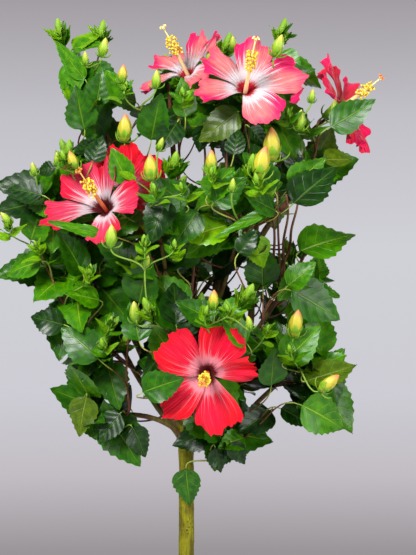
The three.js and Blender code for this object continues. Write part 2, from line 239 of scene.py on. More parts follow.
class Sheaf:
    """Gathers many small surfaces into one piece.

    Each point carries a mark, its place from 0 to 1 across and along its own leaf, petal or twig,
    which the material's pattern reads. The map for baking gives each slot a cell of its own.
    """

    def __init__(self):
        self.points, self.faces, self.marks, self.slots = [], [], [], []
        self.size = 0

    def add(self, points, marks, slot, *groups):
        """Points with their marks, and groups of faces, which count these points from 0."""
        self.points.append(points)
        self.marks.append(np.broadcast_to(marks, (len(points), 2)))
        for faces in groups:
            self.faces.append(faces + self.size)
            self.slots.append(np.full(len(faces), slot))
        self.size += len(points)

    def add_sheet(self, points, slot):
        """An open sheet through rows of points."""
        faces, marks = grid(*points.shape[:2], False)
        self.add(points.reshape(-1, 3), marks, slot, faces)

    def add_rings(self, points, slot):
        """A skin round rings of points, each ring further along than the one before."""
        faces, marks = grid(*points.shape[:2], True)
        self.add(points.reshape(-1, 3), marks, slot, faces[:, ::-1])

    def build(self, name, materials):
        mesh = bpy.data.meshes.new(name)
        faces = [face for group in self.faces for face in group.tolist()]
        mesh.from_pydata(np.concatenate(self.points).tolist(), [], faces)
        slots = np.concatenate(self.slots)
        mesh.polygons.foreach_set("material_index", slots.astype(np.int32))
        mesh.polygons.foreach_set("use_smooth", np.ones(len(slots), bool))
        corners = np.concatenate([group.ravel() for group in self.faces])
        sides = np.concatenate([np.full(len(group), group.shape[1]) for group in self.faces])
        marks = np.concatenate(self.marks)[corners]
        cells = math.ceil(math.sqrt(len(materials)))
        place = np.repeat(slots, sides)
        corner = np.stack([place % cells, place // cells], axis=1)
        mesh.uv_layers.new(name="Pattern").uv.foreach_set("vector", marks.ravel())
        atlas = (corner + 0.03 + 0.94 * marks) / cells
        mesh.uv_layers.new(name="OFBake").uv.foreach_set("vector", atlas.ravel())
        for material in materials:
            mesh.materials.append(material)
        mesh.update()
        piece = bpy.data.objects.new(name, mesh)
        bpy.context.scene.collection.objects.link(piece)
        return piece


def ring_frames(points):
    """Directions along a line of points, and two square to them that don't twist."""
    ahead = np.gradient(points, axis=0)
    ahead /= np.linalg.norm(ahead, axis=1)[:, None]
    side = across(FRONT if abs(ahead[0] @ FRONT) < 0.9 else UP, ahead[0])
    sides = [side]
    for direction in ahead[1:]:
        side = across(side, direction)
        sides.append(side)
    sides = np.array(sides)
    return ahead, sides, np.cross(ahead, sides)


def add_tube(sheaf, points, radii, sides, slot, relief=None):
    """A closed round tube along points. relief gives a factor for each point of its skin."""
    _, side_a, side_b = ring_frames(points)
    radii = np.broadcast_to(radii, len(points))[:, None]
    ways = round_about(side_a[:, None], side_b[:, None], turns(sides))
    if relief is not None:
        radii = radii * relief(points, ways)
    rings = points[:, None] + ways * radii[..., None]
    faces, marks = grid(len(points), sides, True)
    size = len(points) * sides
    vertices = np.concatenate([rings.reshape(-1, 3), points[:1], points[-1:]])
    marks = np.concatenate([marks, [[0.5, 0.0], [0.5, 1.0]]])
    foot = np.arange(sides)
    ends = np.concatenate([fan(foot, size), fan(foot + size - sides, size + 1)[:, ::-1]])
    sheaf.add(vertices, marks, slot, faces[:, ::-1], ends)


def add_ball(sheaf, centre, axis, radius, length, slot, sides=7, rows=6):
    """A small round or egg-shaped body along axis."""
    share = np.linspace(0.02, 0.98, rows)
    points = np.asarray(centre) + np.outer((share - 0.5) * length, axis)
    radii = radius * np.sqrt(1.0 - (2.0 * share - 1.0) ** 2) + 1e-5
    add_tube(sheaf, points, radii, sides, slot)


# ------------------------------------------------------------ reading the frame

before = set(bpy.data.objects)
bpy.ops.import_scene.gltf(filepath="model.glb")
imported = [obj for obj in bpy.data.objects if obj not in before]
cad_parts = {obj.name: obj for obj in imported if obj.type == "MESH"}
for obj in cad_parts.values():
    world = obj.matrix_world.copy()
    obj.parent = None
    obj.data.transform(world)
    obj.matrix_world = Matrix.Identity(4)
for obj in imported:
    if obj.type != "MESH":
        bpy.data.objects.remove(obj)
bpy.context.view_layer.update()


def node_points(name):
    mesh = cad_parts[name].data
    points = np.empty(len(mesh.vertices) * 3)
    mesh.vertices.foreach_get("co", points)
    return points.reshape(-1, 3)


def node_tree(name):
    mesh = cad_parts[name].data
    return BVHTree.FromPolygons([v.co for v in mesh.vertices], [p.vertices for p in mesh.polygons])


class Mass:
    """One mass of foliage: its middle, its surface and its peaks."""

    def __init__(self, name):
        self.name = name
        self.points = node_points(name)
        self.tree = node_tree(name)
        low, high = (np.array(corner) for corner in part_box(name))
        self.middle = self.points.mean(axis=0)
        self.half = (high - low) / 2
        self.peaks = self.find_peaks()

    def reach(self, direction):
        hit = self.tree.ray_cast(Vector(self.middle), Vector(direction))
        return hit[3] if hit[0] else float(self.half.mean())

    def depth(self, point):
        """How deep a point lies in the mass: less than nothing outside it."""
        arm = point - self.middle
        distance = np.linalg.norm(arm)
        if distance > 2.2 * self.half.max():
            return -1.0
        return self.reach(unit(arm)) - distance

    def find_peaks(self):
        """Points that stand further out than all others near them."""
        arms = self.points - self.middle
        lengths = np.linalg.norm(arms, axis=1)
        directions = arms / lengths[:, None]
        peaks = []
        for index in np.argsort(-lengths):
            if lengths[index] < PEAK_HEIGHT * np.median(lengths):
                break
            near = directions @ directions[index] > PEAK_REACH
            if lengths[near].max() > lengths[index] + 1e-6:
                continue
            peaks.append(self.points[index])
        return peaks


MASSES = {n: Mass(n) for n in sorted(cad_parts) if n.startswith("foliage_")}
CROWN_LOW = np.min([m.points.min(axis=0) for m in MASSES.values()], axis=0)
CROWN_HIGH = np.max([m.points.max(axis=0) for m in MASSES.values()], axis=0)
CROWN_MIDDLE = (CROWN_LOW + CROWN_HIGH) / 2
CROWN_HALF = (CROWN_HIGH - CROWN_LOW) / 2


def crown(right, back, up):
    """A place in the crown's box, where each share runs from -1 to 1."""
    return CROWN_MIDDLE + CROWN_HALF * (right, back, up)


def crown_depth(point):
    return max(mass.depth(point) for mass in MASSES.values())


INSIDE_HALF = CROWN_HALF * INSIDE_SHARES
CAMERA = crown(*VIEW_MIDDLE)
CAMERA[1] = -CAMERA_FRONT


def seen_at(point):
    """Where the line from the camera through a point meets the plane y = 0, as x and z."""
    return (CAMERA + (point - CAMERA) * CAMERA[1] / (CAMERA[1] - point[1]))[[0, 2]]


def seen_circles(rows):
    """Middles, as x and z, and radii of a table of gaps."""
    return np.array([crown(right, 0, up)[[0, 2]] for right, up, _ in rows]), np.array(rows)[:, 2]


GAP_MIDDLES, GAP_RADII = seen_circles(GAPS)
SPOT_MIDDLES, SPOT_RADII = seen_circles(SKY_SPOTS)


def in_gap(point):
    return bool(np.any(np.linalg.norm(GAP_MIDDLES - seen_at(point), axis=1) < GAP_RADII))


def off_stretch(places, start, end):
    """How far each place lies from the stretch between start and end."""
    run = end - start
    share = np.clip((places - start) @ run / max(run @ run, 1e-12), 0.0, 1.0)
    return np.linalg.norm(places - start - share[:, None] * run, axis=1)


def bars_the_sky(base, tip, half_width):
    """Whether a leaf from base to tip would lie across a spot of sky."""
    away = off_stretch(SPOT_MIDDLES, seen_at(base), seen_at(tip))
    return bool(np.any(away < SPOT_RADII + half_width))


def hides_upright(point):
    """Whether a leaf with its middle here would hang before an upright shoot."""
    place = seen_at(point)[None]
    if point[1] > crown(0, UPRIGHT_BACK, 0)[1]:
        return False
    lines = [(seen_at(a), seen_at(b)) for a, b in UPRIGHT_LINES]
    return any(off_stretch(place, a, b)[0] < UPRIGHT_CLEARANCE for a, b in lines)


UPRIGHT_LINES = [
    (crown(right, UPRIGHT_BACK, up), crown(top_right, UPRIGHT_BACK, top_up))
    for right, up, top_right, top_up in UPRIGHTS
]


def in_crown(point):
    """Whether a leaf may reach this point: in a mass, or in the space that the masses ring."""
    if in_gap(point):
        return False
    inside = np.linalg.norm((point - CROWN_MIDDLE) / INSIDE_HALF) < 1.0
    return inside or crown_depth(point) > -LEAF_SLACK


def walk_limb(name, start, end, step=0.006):
    """Middle line and radii of a limb's solid, by slicing it square to its own direction."""
    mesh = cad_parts[name].data
    points = node_points(name)
    edges = points[np.array([edge.vertices[:] for edge in mesh.edges])]
    here, direction = np.array(start), unit(end - start)
    line, radii = [], []
    for _ in range(200):
        away = (edges - here) @ direction
        crosses = (away[:, 0] * away[:, 1]) < 0
        share = away[crosses, 0] / (away[crosses, 0] - away[crosses, 1])
        cut = edges[crosses, 0] + (edges[crosses, 1] - edges[crosses, 0]) * share[:, None]
        cut = cut[np.linalg.norm(cut - here, axis=1) < 0.016]
        if len(cut) < 4:
            if line:
                break
            here = here + direction * step / 2
            continue
        middle = (cut.min(axis=0) + cut.max(axis=0)) / 2
        line.append(middle)
        radii.append(np.median(np.linalg.norm(cut - middle, axis=1)))
        if len(line) > 2:
            direction = unit(line[-1] - line[-3])
        here = middle + direction * step
    return smooth_line(np.array(line)), smooth_line(np.array(radii)[:, None])[:, 0]


def smooth_line(values, passes=3):
    for _ in range(passes):
        values[1:-1] = (values[:-2] + 2 * values[1:-1] + values[2:]) / 4
    return values


# -------------------------------------------------------------------- materials


class Wave:
    """A number that a material's nodes work out, which plain arithmetic carries on."""

    def __init__(self, nodes, socket):
        self.nodes, self.socket = nodes, socket

    def __add__(self, other):
        return self.nodes.math("ADD", self, other)

    def __sub__(self, other):
        return self.nodes.math("SUBTRACT", self, other)

    def __rsub__(self, other):
        return self.nodes.math("SUBTRACT", other, self)

    def __mul__(self, other):
        return self.nodes.math("MULTIPLY", self, other)

    def __abs__(self):
        return self.nodes.math("ABSOLUTE", self)

    def clamped(self):
        return self.nodes.math("ADD", self, 0.0, clamp=True)


class Nodes:
    """Adds nodes to a tree. An input may be a value, another node's output or a Wave."""

    def __init__(self, tree):
        self.tree = tree

    def join(self, socket, value):
        if isinstance(value, Wave):
            value = value.socket
        if isinstance(value, bpy.types.NodeSocket):
            self.tree.links.new(value, socket)
        else:
            socket.default_value = value

    def node(self, kind, *inputs, **settings):
        made = self.tree.nodes.new(kind)
        for key, value in settings.items():
            setattr(made, key, value)
        for socket, value in zip(made.inputs, inputs):
            self.join(socket, value)
        return made

    def fit(self, made, **inputs):
        """Joins a node's inputs by name."""
        for name, value in inputs.items():
            self.join(made.inputs[name.replace("_", " ")], value)
        return made

    def math(self, operation, *values, clamp=False):
        made = self.node("ShaderNodeMath", *values, operation=operation, use_clamp=clamp)
        return Wave(self, made.outputs[0])


class Shade(Nodes):
    """Builds one material."""

    def __init__(self, name, roughness=0.5, bump=0.0):
        self.material = bpy.data.materials.new(name)
        self.material.use_nodes = True
        super().__init__(self.material.node_tree)
        self.surface = self.tree.nodes["Principled BSDF"]
        self.surface.inputs["Roughness"].default_value = roughness
        self.bump_depth = bump

    def marks(self):
        """A point's two marks, across and along its own leaf, petal or twig."""
        pattern = self.node("ShaderNodeUVMap", uv_map="Pattern")
        place = self.node("ShaderNodeSeparateXYZ", pattern.outputs[0])
        return Wave(self, place.outputs[0]), Wave(self, place.outputs[1])

    def own_place(self):
        return self.node("ShaderNodeTexCoord").outputs["Object"]

    def plane(self, x, y):
        return self.node("ShaderNodeCombineXYZ", x, y).outputs[0]

    def stretched(self, place, scale):
        return self.fit(self.node("ShaderNodeMapping"), Vector=place, Scale=scale).outputs[0]

    def step(self, value, low, high):
        """0 up to low, 1 from high on, and smooth between."""
        inputs = (value, low, high, 0.0, 1.0)
        made = self.node("ShaderNodeMapRange", *inputs, interpolation_type="SMOOTHSTEP")
        return Wave(self, made.outputs[0])

    def mix(self, share, a, b):
        made = self.node("ShaderNodeMix", share, data_type="RGBA")
        self.join(made.inputs[6], a)
        self.join(made.inputs[7], b)
        return made.outputs[2]

    def noise(self, place, scale, detail=3.0, roughness=0.55):
        made = self.node("ShaderNodeTexNoise")
        self.fit(made, Vector=place, Scale=scale, Detail=detail, Roughness=roughness)
        return Wave(self, made.outputs[0])

    def spots(self, place, scale):
        made = self.fit(self.node("ShaderNodeTexVoronoi"), Vector=place, Scale=scale)
        return Wave(self, made.outputs["Distance"])

    def finish(self, colour, height=None, **inputs):
        self.fit(self.surface, Base_Color=colour, **inputs)
        if height is not None:
            relief = self.fit(self.node("ShaderNodeBump"), Distance=self.bump_depth, Height=height)
            self.fit(self.surface, Normal=relief.outputs[0])
        return self.material


def leaf_material(name, blade, deep, vein):
    """A glossy blade with a pale midrib, side veins that run forwards, and a mottled green."""
    shade = Shade(name, roughness=0.30, bump=0.0010)
    x, y = shade.marks()
    aside = abs(x * 2.0 - 1.0)
    midrib = 1.0 - shade.step(aside, 0.02, 0.07)
    from_vein = abs(shade.math("FRACT", (y - aside * 0.24) * 5.5) - 0.5)
    side_vein = (1.0 - shade.step(from_vein, 0.01, 0.07)) * shade.step(aside, 1.0, 0.55)
    veins = shade.math("MAXIMUM", midrib, side_vein * 0.32)
    place = shade.plane(x * 2.2, y * 3.4)
    mottle = shade.noise(place, 1.5)
    body = shade.mix(shade.step(mottle, 0.32, 0.68), deep, blade)
    colour = shade.mix(veins * 0.60, body, vein)
    height = shade.step(from_vein, 0.04, 0.5) * 0.18 + shade.noise(place, 16.0) * 0.12 - veins
    return shade.finish(colour, height, Specular_IOR_Level=0.27, Coat_Weight=0.06, Coat_Roughness=0.2)


def petal_material(name, body, edge, streak, eye, eye_size, pale_to, streak_strength):
    """Silky petal: a dark eye, pale streaks that fan out from it, and a blade flushed at its edge."""
    shade = Shade(name, roughness=0.50, bump=0.0012)
    x, y = shade.marks()
    broad = shade.noise(shade.plane(x * 36.0, y * 0.8), 1.0, detail=1.0)
    narrow = shade.noise(shade.plane(x * 84.0, y * 1.2), 1.0, detail=1.0)
    streaks = shade.step(broad * 0.55 + narrow * 0.45, 0.38, 0.62)
    patch = shade.noise(shade.plane(x * 2.6, y * 2.2), 1.0, detail=2.0)
    flush = shade.step(x, 0.50, 0.95) * 0.90 + shade.step(y, 0.55, 1.0) * 0.70
    flush = (flush * shade.step(patch, 0.34, 0.54)).clamped()
    blade = shade.mix(flush, body, edge)
    dark_lines = shade.mix(streaks * 0.14, blade, eye)
    run = (0.5 - streaks) * (shade.step(y, 0.28, 0.72) * 0.42) + y
    pale = 1.0 - shade.step(run, 0.36, pale_to)
    lines = shade.step(streaks, 0.75, 1.0) * shade.step(y, 1.0, 0.45)
    pale = shade.math("MAXIMUM", pale, lines * 0.34)
    colour = shade.mix((pale * streak_strength).clamped(), dark_lines, streak)
    beyond_eye = y - (streaks * 0.08 + eye_size)
    colour = shade.mix(1.0 - shade.step(beyond_eye, 0.0, 0.05), colour, eye)
    return shade.finish(colour, streaks, Specular_IOR_Level=0.22, Sheen_Weight=0.04)


def plain_material(name, low, high, roughness=0.5, tip=None):
    """A small part whose colour runs from low at its foot to high, and to tip at its very end."""
    shade = Shade(name, roughness=roughness, bump=0.0003)
    x, y = shade.marks()
    grain = shade.noise(shade.plane(x * 2.0, y), 9.0)
    colour = shade.mix((grain * 0.5 + y - 0.25).clamped(), low, high)
    if tip is not None:
        colour = shade.mix(shade.step(y, 0.68, 0.98) * 0.8, colour, tip)
    return shade.finish(colour, grain)


def bark_material(name, green, brown, speck, speck_share):
    """Thin bark: a green or brown skin with lengthwise streaks and corky specks."""
    shade = Shade(name, roughness=0.62, bump=0.0008)
    place = shade.own_place()
    streaks = shade.noise(shade.stretched(place, (260.0, 260.0, 34.0)), 1.0, detail=5.0)
    blotch = shade.noise(place, 42.0, detail=4.0)
    skin = shade.mix(shade.step(streaks + blotch, 0.75, 1.2), green, brown)
    dots = shade.spots(shade.stretched(place, (1.0, 1.0, 0.6)), 330.0)
    scatter = shade.step(shade.noise(place, 70.0), 0.42, 0.62)
    specks = (1.0 - shade.step(dots, 0.16, 0.34)) * scatter * speck_share
    colour = shade.mix(specks, skin, speck)
    return shade.finish(colour, specks * 0.6 + streaks, Specular_IOR_Level=0.25)


def clay_material():
    """Fired clay: lines from the wheel, paler patches, a bloom of salt and fine grit."""
    shade = Shade("fired_clay", roughness=0.82, bump=0.0009)
    place = shade.own_place()
    wheel_lines = shade.noise(shade.stretched(place, (3.0, 3.0, 260.0)), 1.0, detail=4.0)
    patches = shade.noise(place, 9.0, detail=6.0)
    body = shade.mix(shade.step(patches, 0.35, 0.7), rgb(178, 98, 66), rgb(201, 124, 88))
    salt = shade.step(shade.noise(place, 17.0, detail=8.0, roughness=0.7), 0.55, 0.8)
    colour = shade.mix(salt * 0.45, body, rgb(222, 190, 168))
    return shade.finish(colour, shade.noise(place, 620.0, detail=2.0) * 0.35 + wheel_lines)


def soil_material(name, dark, light, scale):
    shade = Shade(name, roughness=0.95, bump=0.002)
    grain = shade.noise(shade.own_place(), scale, detail=6.0, roughness=0.7)
    return shade.finish(shade.mix(shade.step(grain, 0.3, 0.75), dark, light), grain)


LEAF_TINTS = [
    leaf_material("leaf_deep", rgb(30, 66, 10), rgb(14, 42, 8), rgb(76, 108, 34)),
    leaf_material("leaf_green", rgb(50, 102, 8), rgb(30, 74, 8), rgb(106, 142, 36)),
    leaf_material("leaf_bright", rgb(76, 134, 4), rgb(46, 102, 4), rgb(140, 176, 48)),
    leaf_material("leaf_lime", rgb(120, 168, 12), rgb(86, 140, 8), rgb(172, 200, 62)),
    leaf_material("leaf_olive", rgb(84, 108, 20), rgb(60, 84, 14), rgb(130, 150, 60)),
]
DEEP, GREEN, BRIGHT, LIME, OLIVE = range(5)
# Painted light and shade: a leaf that the crown's light reaches better gets a paler tint.
TINTS_BY_PAINTED_LIGHT = [(0.88, LIME), (0.52, BRIGHT), (0.17, GREEN)]  # the least light each one needs
OLIVE_SHARE = 0.16  # of the leaves that get less

TWIG_KINDS = [
    bark_material("twig_bark", rgb(112, 78, 50), rgb(84, 48, 36), rgb(150, 124, 90), 0.4),
    plain_material("green_twig", rgb(112, 136, 44), rgb(122, 168, 50)),
    plain_material("petiole", rgb(152, 140, 66), rgb(140, 172, 62)),
]
BARK, GREEN_TWIG, PETIOLE = range(3)

WHITE_STREAK = rgb(255, 242, 248)
CRIMSON = rgb(224, 6, 42)
MAROON = rgb(124, 2, 26)
BLOOM_KINDS = [
    petal_material(
        "petal_coral", rgb(250, 134, 134), rgb(240, 26, 104), WHITE_STREAK, CRIMSON, 0.18, 0.62, 0.95
    ),
    petal_material(
        "petal_rose", rgb(244, 60, 100), rgb(238, 8, 62), WHITE_STREAK, MAROON, 0.21, 0.58, 0.84
    ),
    petal_material(
        "petal_red", rgb(255, 12, 58), rgb(250, 0, 38), rgb(255, 200, 214), MAROON, 0.18, 0.48, 0.50
    ),
    petal_material(
        "petal_scarlet", rgb(255, 58, 76), rgb(248, 22, 92), rgb(255, 150, 130), CRIMSON, 0.20, 0.4, 0.5
    ),
    plain_material("column_pale", rgb(250, 206, 160), rgb(252, 240, 150), roughness=0.4),
    plain_material("column_red", rgb(226, 52, 50), rgb(250, 216, 110), roughness=0.4),
    plain_material("anther", rgb(238, 178, 28), rgb(252, 226, 70), roughness=0.7),
    plain_material("stigma_pale", rgb(240, 220, 110), rgb(252, 240, 160), roughness=0.6),
    plain_material("stigma_red", rgb(228, 92, 40), rgb(244, 150, 70), roughness=0.6),
    plain_material("calyx", rgb(88, 138, 22), rgb(134, 178, 34)),
    plain_material("bud_yellow", rgb(150, 166, 40), rgb(216, 190, 62), 0.45, rgb(214, 104, 84)),
    plain_material("bud_green", rgb(120, 164, 40), rgb(176, 194, 58), 0.45, rgb(206, 190, 84)),
]
CORAL, ROSE, RED, SCARLET = range(4)
COLUMN_PALE, COLUMN_RED, ANTHER, STIGMA_PALE, STIGMA_RED, CALYX, BUD_YELLOW, BUD_GREEN = range(4, 12)
COLUMN_TINTS = {
    CORAL: (COLUMN_PALE, STIGMA_PALE),
    ROSE: (COLUMN_RED, STIGMA_RED),
    RED: (COLUMN_RED, STIGMA_RED),
    SCARLET: (COLUMN_PALE, STIGMA_RED),
}


# ----------------------------------------------------------------------- leaves


def leaf_outline():
    """Each row's place along the blade, and the blade's half width there."""
    along = np.linspace(0.0, 1.0, LEAF_ROWS)
    width = np.sin(math.pi * along**0.63) ** 0.84 * (1.0 - 0.24 * along**1.5)
    return along, 0.5 * width / width.max() + 0.004


LEAF_ALONG, LEAF_HALF = leaf_outline()
LEAF_ACROSS = np.linspace(-1.0, 1.0, LEAF_COLUMNS)


def add_leaf(sheaf, base, direction, normal, length, slot, rng, width_share=LEAF_WIDTH_SHARE):
    """One finely toothed blade that folds a little along its midrib, arches and ripples."""
    normal = across(normal, direction)
    side = np.cross(normal, direction)
    fold = rng.uniform(0.06, 0.30)
    arch = rng.uniform(-0.04, 0.30)
    ripple = rng.uniform(0.01, 0.05)
    twist = rng.uniform(-0.18, 0.18)
    phase = rng.uniform(0.0, 6.28)
    lean = rng.uniform(-0.08, 0.08)
    rows = LEAF_ALONG[:, None]
    columns = LEAF_ACROSS[None, :]
    edge = np.abs(columns) ** 6
    tooth = np.where(np.arange(LEAF_ROWS) % 2 == 1, 1.0, -0.4)[:, None]
    toothed = tooth * edge * smoothstep(0.20, 0.45, rows) * (1.0 - rows**10)
    half = LEAF_HALF[:, None] * width_share
    y = columns * half * (1.0 + 0.085 * toothed) + lean * rows**2
    x = rows + 0.015 * toothed - arch * 0.20 * rows**3
    z = np.abs(columns) * half * fold - arch * rows**2 * 0.55 + twist * columns * half * rows
    z = z + ripple * columns**2 * np.sin(rows * 8.0 + phase + columns * 1.3)
    local = np.stack(np.broadcast_arrays(x, y, z), axis=-1) * length
    sheaf.add_sheet(base + local @ np.stack([direction, side, normal]), slot)


def add_petiole(sheaf, start, leave, end, arrive):
    """The thin stalk from a shoot to its leaf."""
    line = sweep(start, leave, end, arrive, 5)
    add_tube(sheaf, line, np.linspace(1.25, 0.9, 5) * PETIOLE_RADIUS, 4, PETIOLE)


def light_side(point):
    """Leaves turn up and outwards, to the light on their own side of the plant."""
    outward = unit((point - CROWN_MIDDLE) * (1, 1, 0))
    facing = FRONT * -math.tanh((point[1] - CROWN_MIDDLE[1] - 0.02) / 0.05)
    return unit(UP * 0.55 + outward * 0.35 + facing * 0.65)


# ----------------------------------------------------------------------- blooms


class Bloom:
    """An open flower: where its eye is, the way it faces, and its petals.

    A petal is its turn in degrees about the axis (0 to the right and 90 upwards, as seen from
    before the flower), its length and width as shares of the usual ones, how far it opens from
    the axis in degrees, and how much its edge ripples.
    """

    def __init__(self, eye, faces, tint, petals, bend=(0, 0, 1), size=0.078):
        self.eye = crown(*eye)
        self.axis = unit(faces)
        self.tint = tint
        self.petals = petals
        self.bend = np.array(bend, float)
        self.size = size
        self.right = unit(np.cross(UP, self.axis))
        self.above = np.cross(self.axis, self.right)
        self.foot = self.eye - self.axis * 0.026

    def hides(self, point):
        """Whether a point lies in the space before the petals."""
        arm = point - self.eye
        ahead = arm @ self.axis
        aside = np.linalg.norm(arm - self.axis * ahead)
        return -0.006 < ahead < 0.12 and aside < BLOOM_CLEARANCE - 0.15 * ahead


def add_petal(sheaf, bloom, turn, length, width, opens, ripple, rng):
    outward = round_about(bloom.right, bloom.above, math.radians(turn))
    aside = round_about(bloom.above, -bloom.right, math.radians(turn))
    size = bloom.size * length * 0.96
    half = 0.5 * bloom.size * PETAL_WIDTH_SHARE * width
    along = np.linspace(0.0, 1.0, PETAL_ROWS)[:, None]
    over = np.linspace(-1.0, 1.0, PETAL_COLUMNS)[None, :]
    phase, phase_b = rng.uniform(0, 6.28), rng.uniform(0, 6.28)
    edge_wave = 0.042 * np.sin(over * 5 + phase) + 0.026 * np.sin(over * 13 + phase_b)
    edge_wave = edge_wave + 0.016 * np.sin(over * 29 + phase)
    reached = along * (1.0 - 0.20 * np.abs(over) ** 2.4 + edge_wave * along**2)
    lean = np.radians(np.interp(reached, [0.0, 0.14, 0.36, 0.85, 1.1],
                                [16.0, 40.0, opens - 8.0, opens + 3.0, opens + 12.0]))
    steps = np.diff(reached, axis=0, prepend=0.0) * size
    radial = 0.0022 + np.cumsum(np.sin(lean) * steps, axis=0)
    axial = -0.010 + np.cumsum(np.cos(lean) * steps, axis=0)
    spread = 0.10 + 0.90 * np.sin(math.pi / 2 * np.minimum(1.0, reached / 0.84)) ** 1.6
    sideways = over * half * spread
    lift = 0.10 * half * over * smoothstep(0.1, 0.5, reached)
    lift = lift + 0.26 * half * over**2 * smoothstep(0.05, 0.4, reached) * (1.0 - reached)
    frill = ripple * bloom.size * smoothstep(0.45, 1.0, reached)
    margin = 0.35 + 0.65 * np.abs(over) ** 2
    lift = lift + frill * np.sin(over * 5.3 + phase) * 0.055
    lift = lift + frill * margin * np.sin(over * 12.0 + phase_b + reached * 5) * 0.045
    lift = lift + frill * np.abs(over) ** 3 * np.sin(reached * 16 + phase) * 0.06
    lift = lift + 0.0007 * np.cos(over * math.pi * 7) * np.sqrt(reached) * (1.2 - reached)
    out = radial - lift * np.cos(lean)
    ahead = axial + lift * np.sin(lean)
    wrap = np.minimum(1.0, np.abs(sideways) / np.maximum(radial, 1e-4))
    out = out - 0.25 * radial * wrap**2 * (1.0 - smoothstep(0.1, 0.45, reached))
    points = bloom.eye + out[..., None] * outward + ahead[..., None] * bloom.axis
    sheaf.add_sheet(points + sideways[..., None] * aside, bloom.tint)


def add_column(sheaf, bloom, rng):
    """The staminal column: stamens in a band along it, then a bare style and five stigmas."""
    column, stigma = COLUMN_TINTS[bloom.tint]
    root = bloom.eye - bloom.axis * 0.008
    bend = bloom.bend * 0.016
    end = root + bloom.axis * COLUMN_LENGTH * 0.94 + bend
    line = bezier(root, root + bloom.axis * 0.030, end - unit(bloom.axis + bend * 40) * 0.02, end, 26)
    ahead, side_a, side_b = ring_frames(line)
    along = np.linspace(0.0, 1.0, len(line))
    add_tube(sheaf, line, np.interp(along, [0, 0.7, 0.8, 1], [0.0030, 0.0021, 0.0010, 0.0009]), 8, column)
    for index in range(STAMENS):
        share = STAMEN_BAND[0] + (STAMEN_BAND[1] - STAMEN_BAND[0]) * index / STAMENS
        row = int(share * (len(line) - 1))
        here = line[row] + (line[row + 1] - line[row]) * rng.random()
        out = round_about(side_a[row], side_b[row], index * GOLDEN_ANGLE)
        out = unit(out + ahead[row] * rng.uniform(0.1, 0.9))
        tip = here + out * rng.uniform(0.0045, 0.0090)
        add_tube(sheaf, np.linspace(here, tip, 3), 0.0003, 3, ANTHER)
        add_ball(sheaf, tip, out, rng.uniform(0.0015, 0.0021), 0.0030, ANTHER, sides=6, rows=4)
    for out in round_about(side_a[-1], side_b[-1], turns(5)):
        tip = end + unit(ahead[-1] + out * 0.9) * 0.0060
        add_tube(sheaf, np.linspace(end - ahead[-1] * 0.001, tip, 4), 0.0004, 4, column)
        add_ball(sheaf, tip, unit(ahead[-1] + out), 0.0017, 0.0028, stigma)


def ways_round(axis, turn):
    """Ways square to an axis, at angles round it."""
    side = across(UP if abs(axis @ UP) < 0.9 else FRONT, axis)
    return round_about(side, np.cross(axis, side), turn)


def add_shell(sheaf, foot, axis, reached, out, slot):
    """A round shell with open ends, from how far its points lie along the axis and out from it."""
    ways = ways_round(axis, turns(out.shape[1]))
    sheaf.add_rings(foot + reached[..., None] * axis + out[..., None] * ways, slot)


def add_calyx(sheaf, foot, axis, radius, length, flare, bracts, rng):
    """A green cup with five teeth, and a whorl of narrow bracts below it."""
    rows, columns = (9, 20) if radius > FINE_CALYX else (6, 10)
    along = np.linspace(0.0, 1.0, rows)[:, None]
    tooth = 0.5 + 0.5 * np.cos(5 * turns(columns))
    reached = along * (1.0 - 0.42 * (1.0 - tooth) * along)
    out = radius * (0.30 + 0.70 * np.sin(reached * math.pi * 0.55)) + flare * reached**3
    add_shell(sheaf, foot, axis, reached * length, out, CALYX)
    for index in range(BRACTS):
        out = ways_round(axis, FULL_TURN * (index + rng.random() * 0.4) / BRACTS)
        rise = rng.uniform(0.60, 1.0)
        tip = foot + axis * bracts * rise + out * (radius + bracts * (1.15 - rise))
        line = bezier(foot, foot + out * radius * 1.2, tip - axis * bracts * 0.35, tip, 5)
        add_tube(sheaf, line, BRACT_TAPER * (0.0008 + 0.045 * bracts), 3, CALYX)


def add_bud(sheaf, foot, axis, length, radius, slot, bracts, rng):
    """A closed bud: furled petals that twist to a blunt point, in their calyx."""
    rows, columns = (14, 20) if length > FINE_BUD else (8, 10)
    along = np.linspace(0.0, 1.0, rows)[:, None]
    shape = np.sin(math.pi * np.clip(along * 0.94 + 0.05, 0, 1) ** 0.8) ** 0.75
    furl = 1.0 + 0.10 * np.sin(5 * turns(columns) + along * 7.0) * smoothstep(0.2, 0.6, along)
    add_shell(sheaf, foot, axis, along * length, radius * shape * furl, slot)
    add_calyx(sheaf, foot - axis * 0.001, axis, radius * 1.14, length * 0.52, 0.0, bracts, rng)


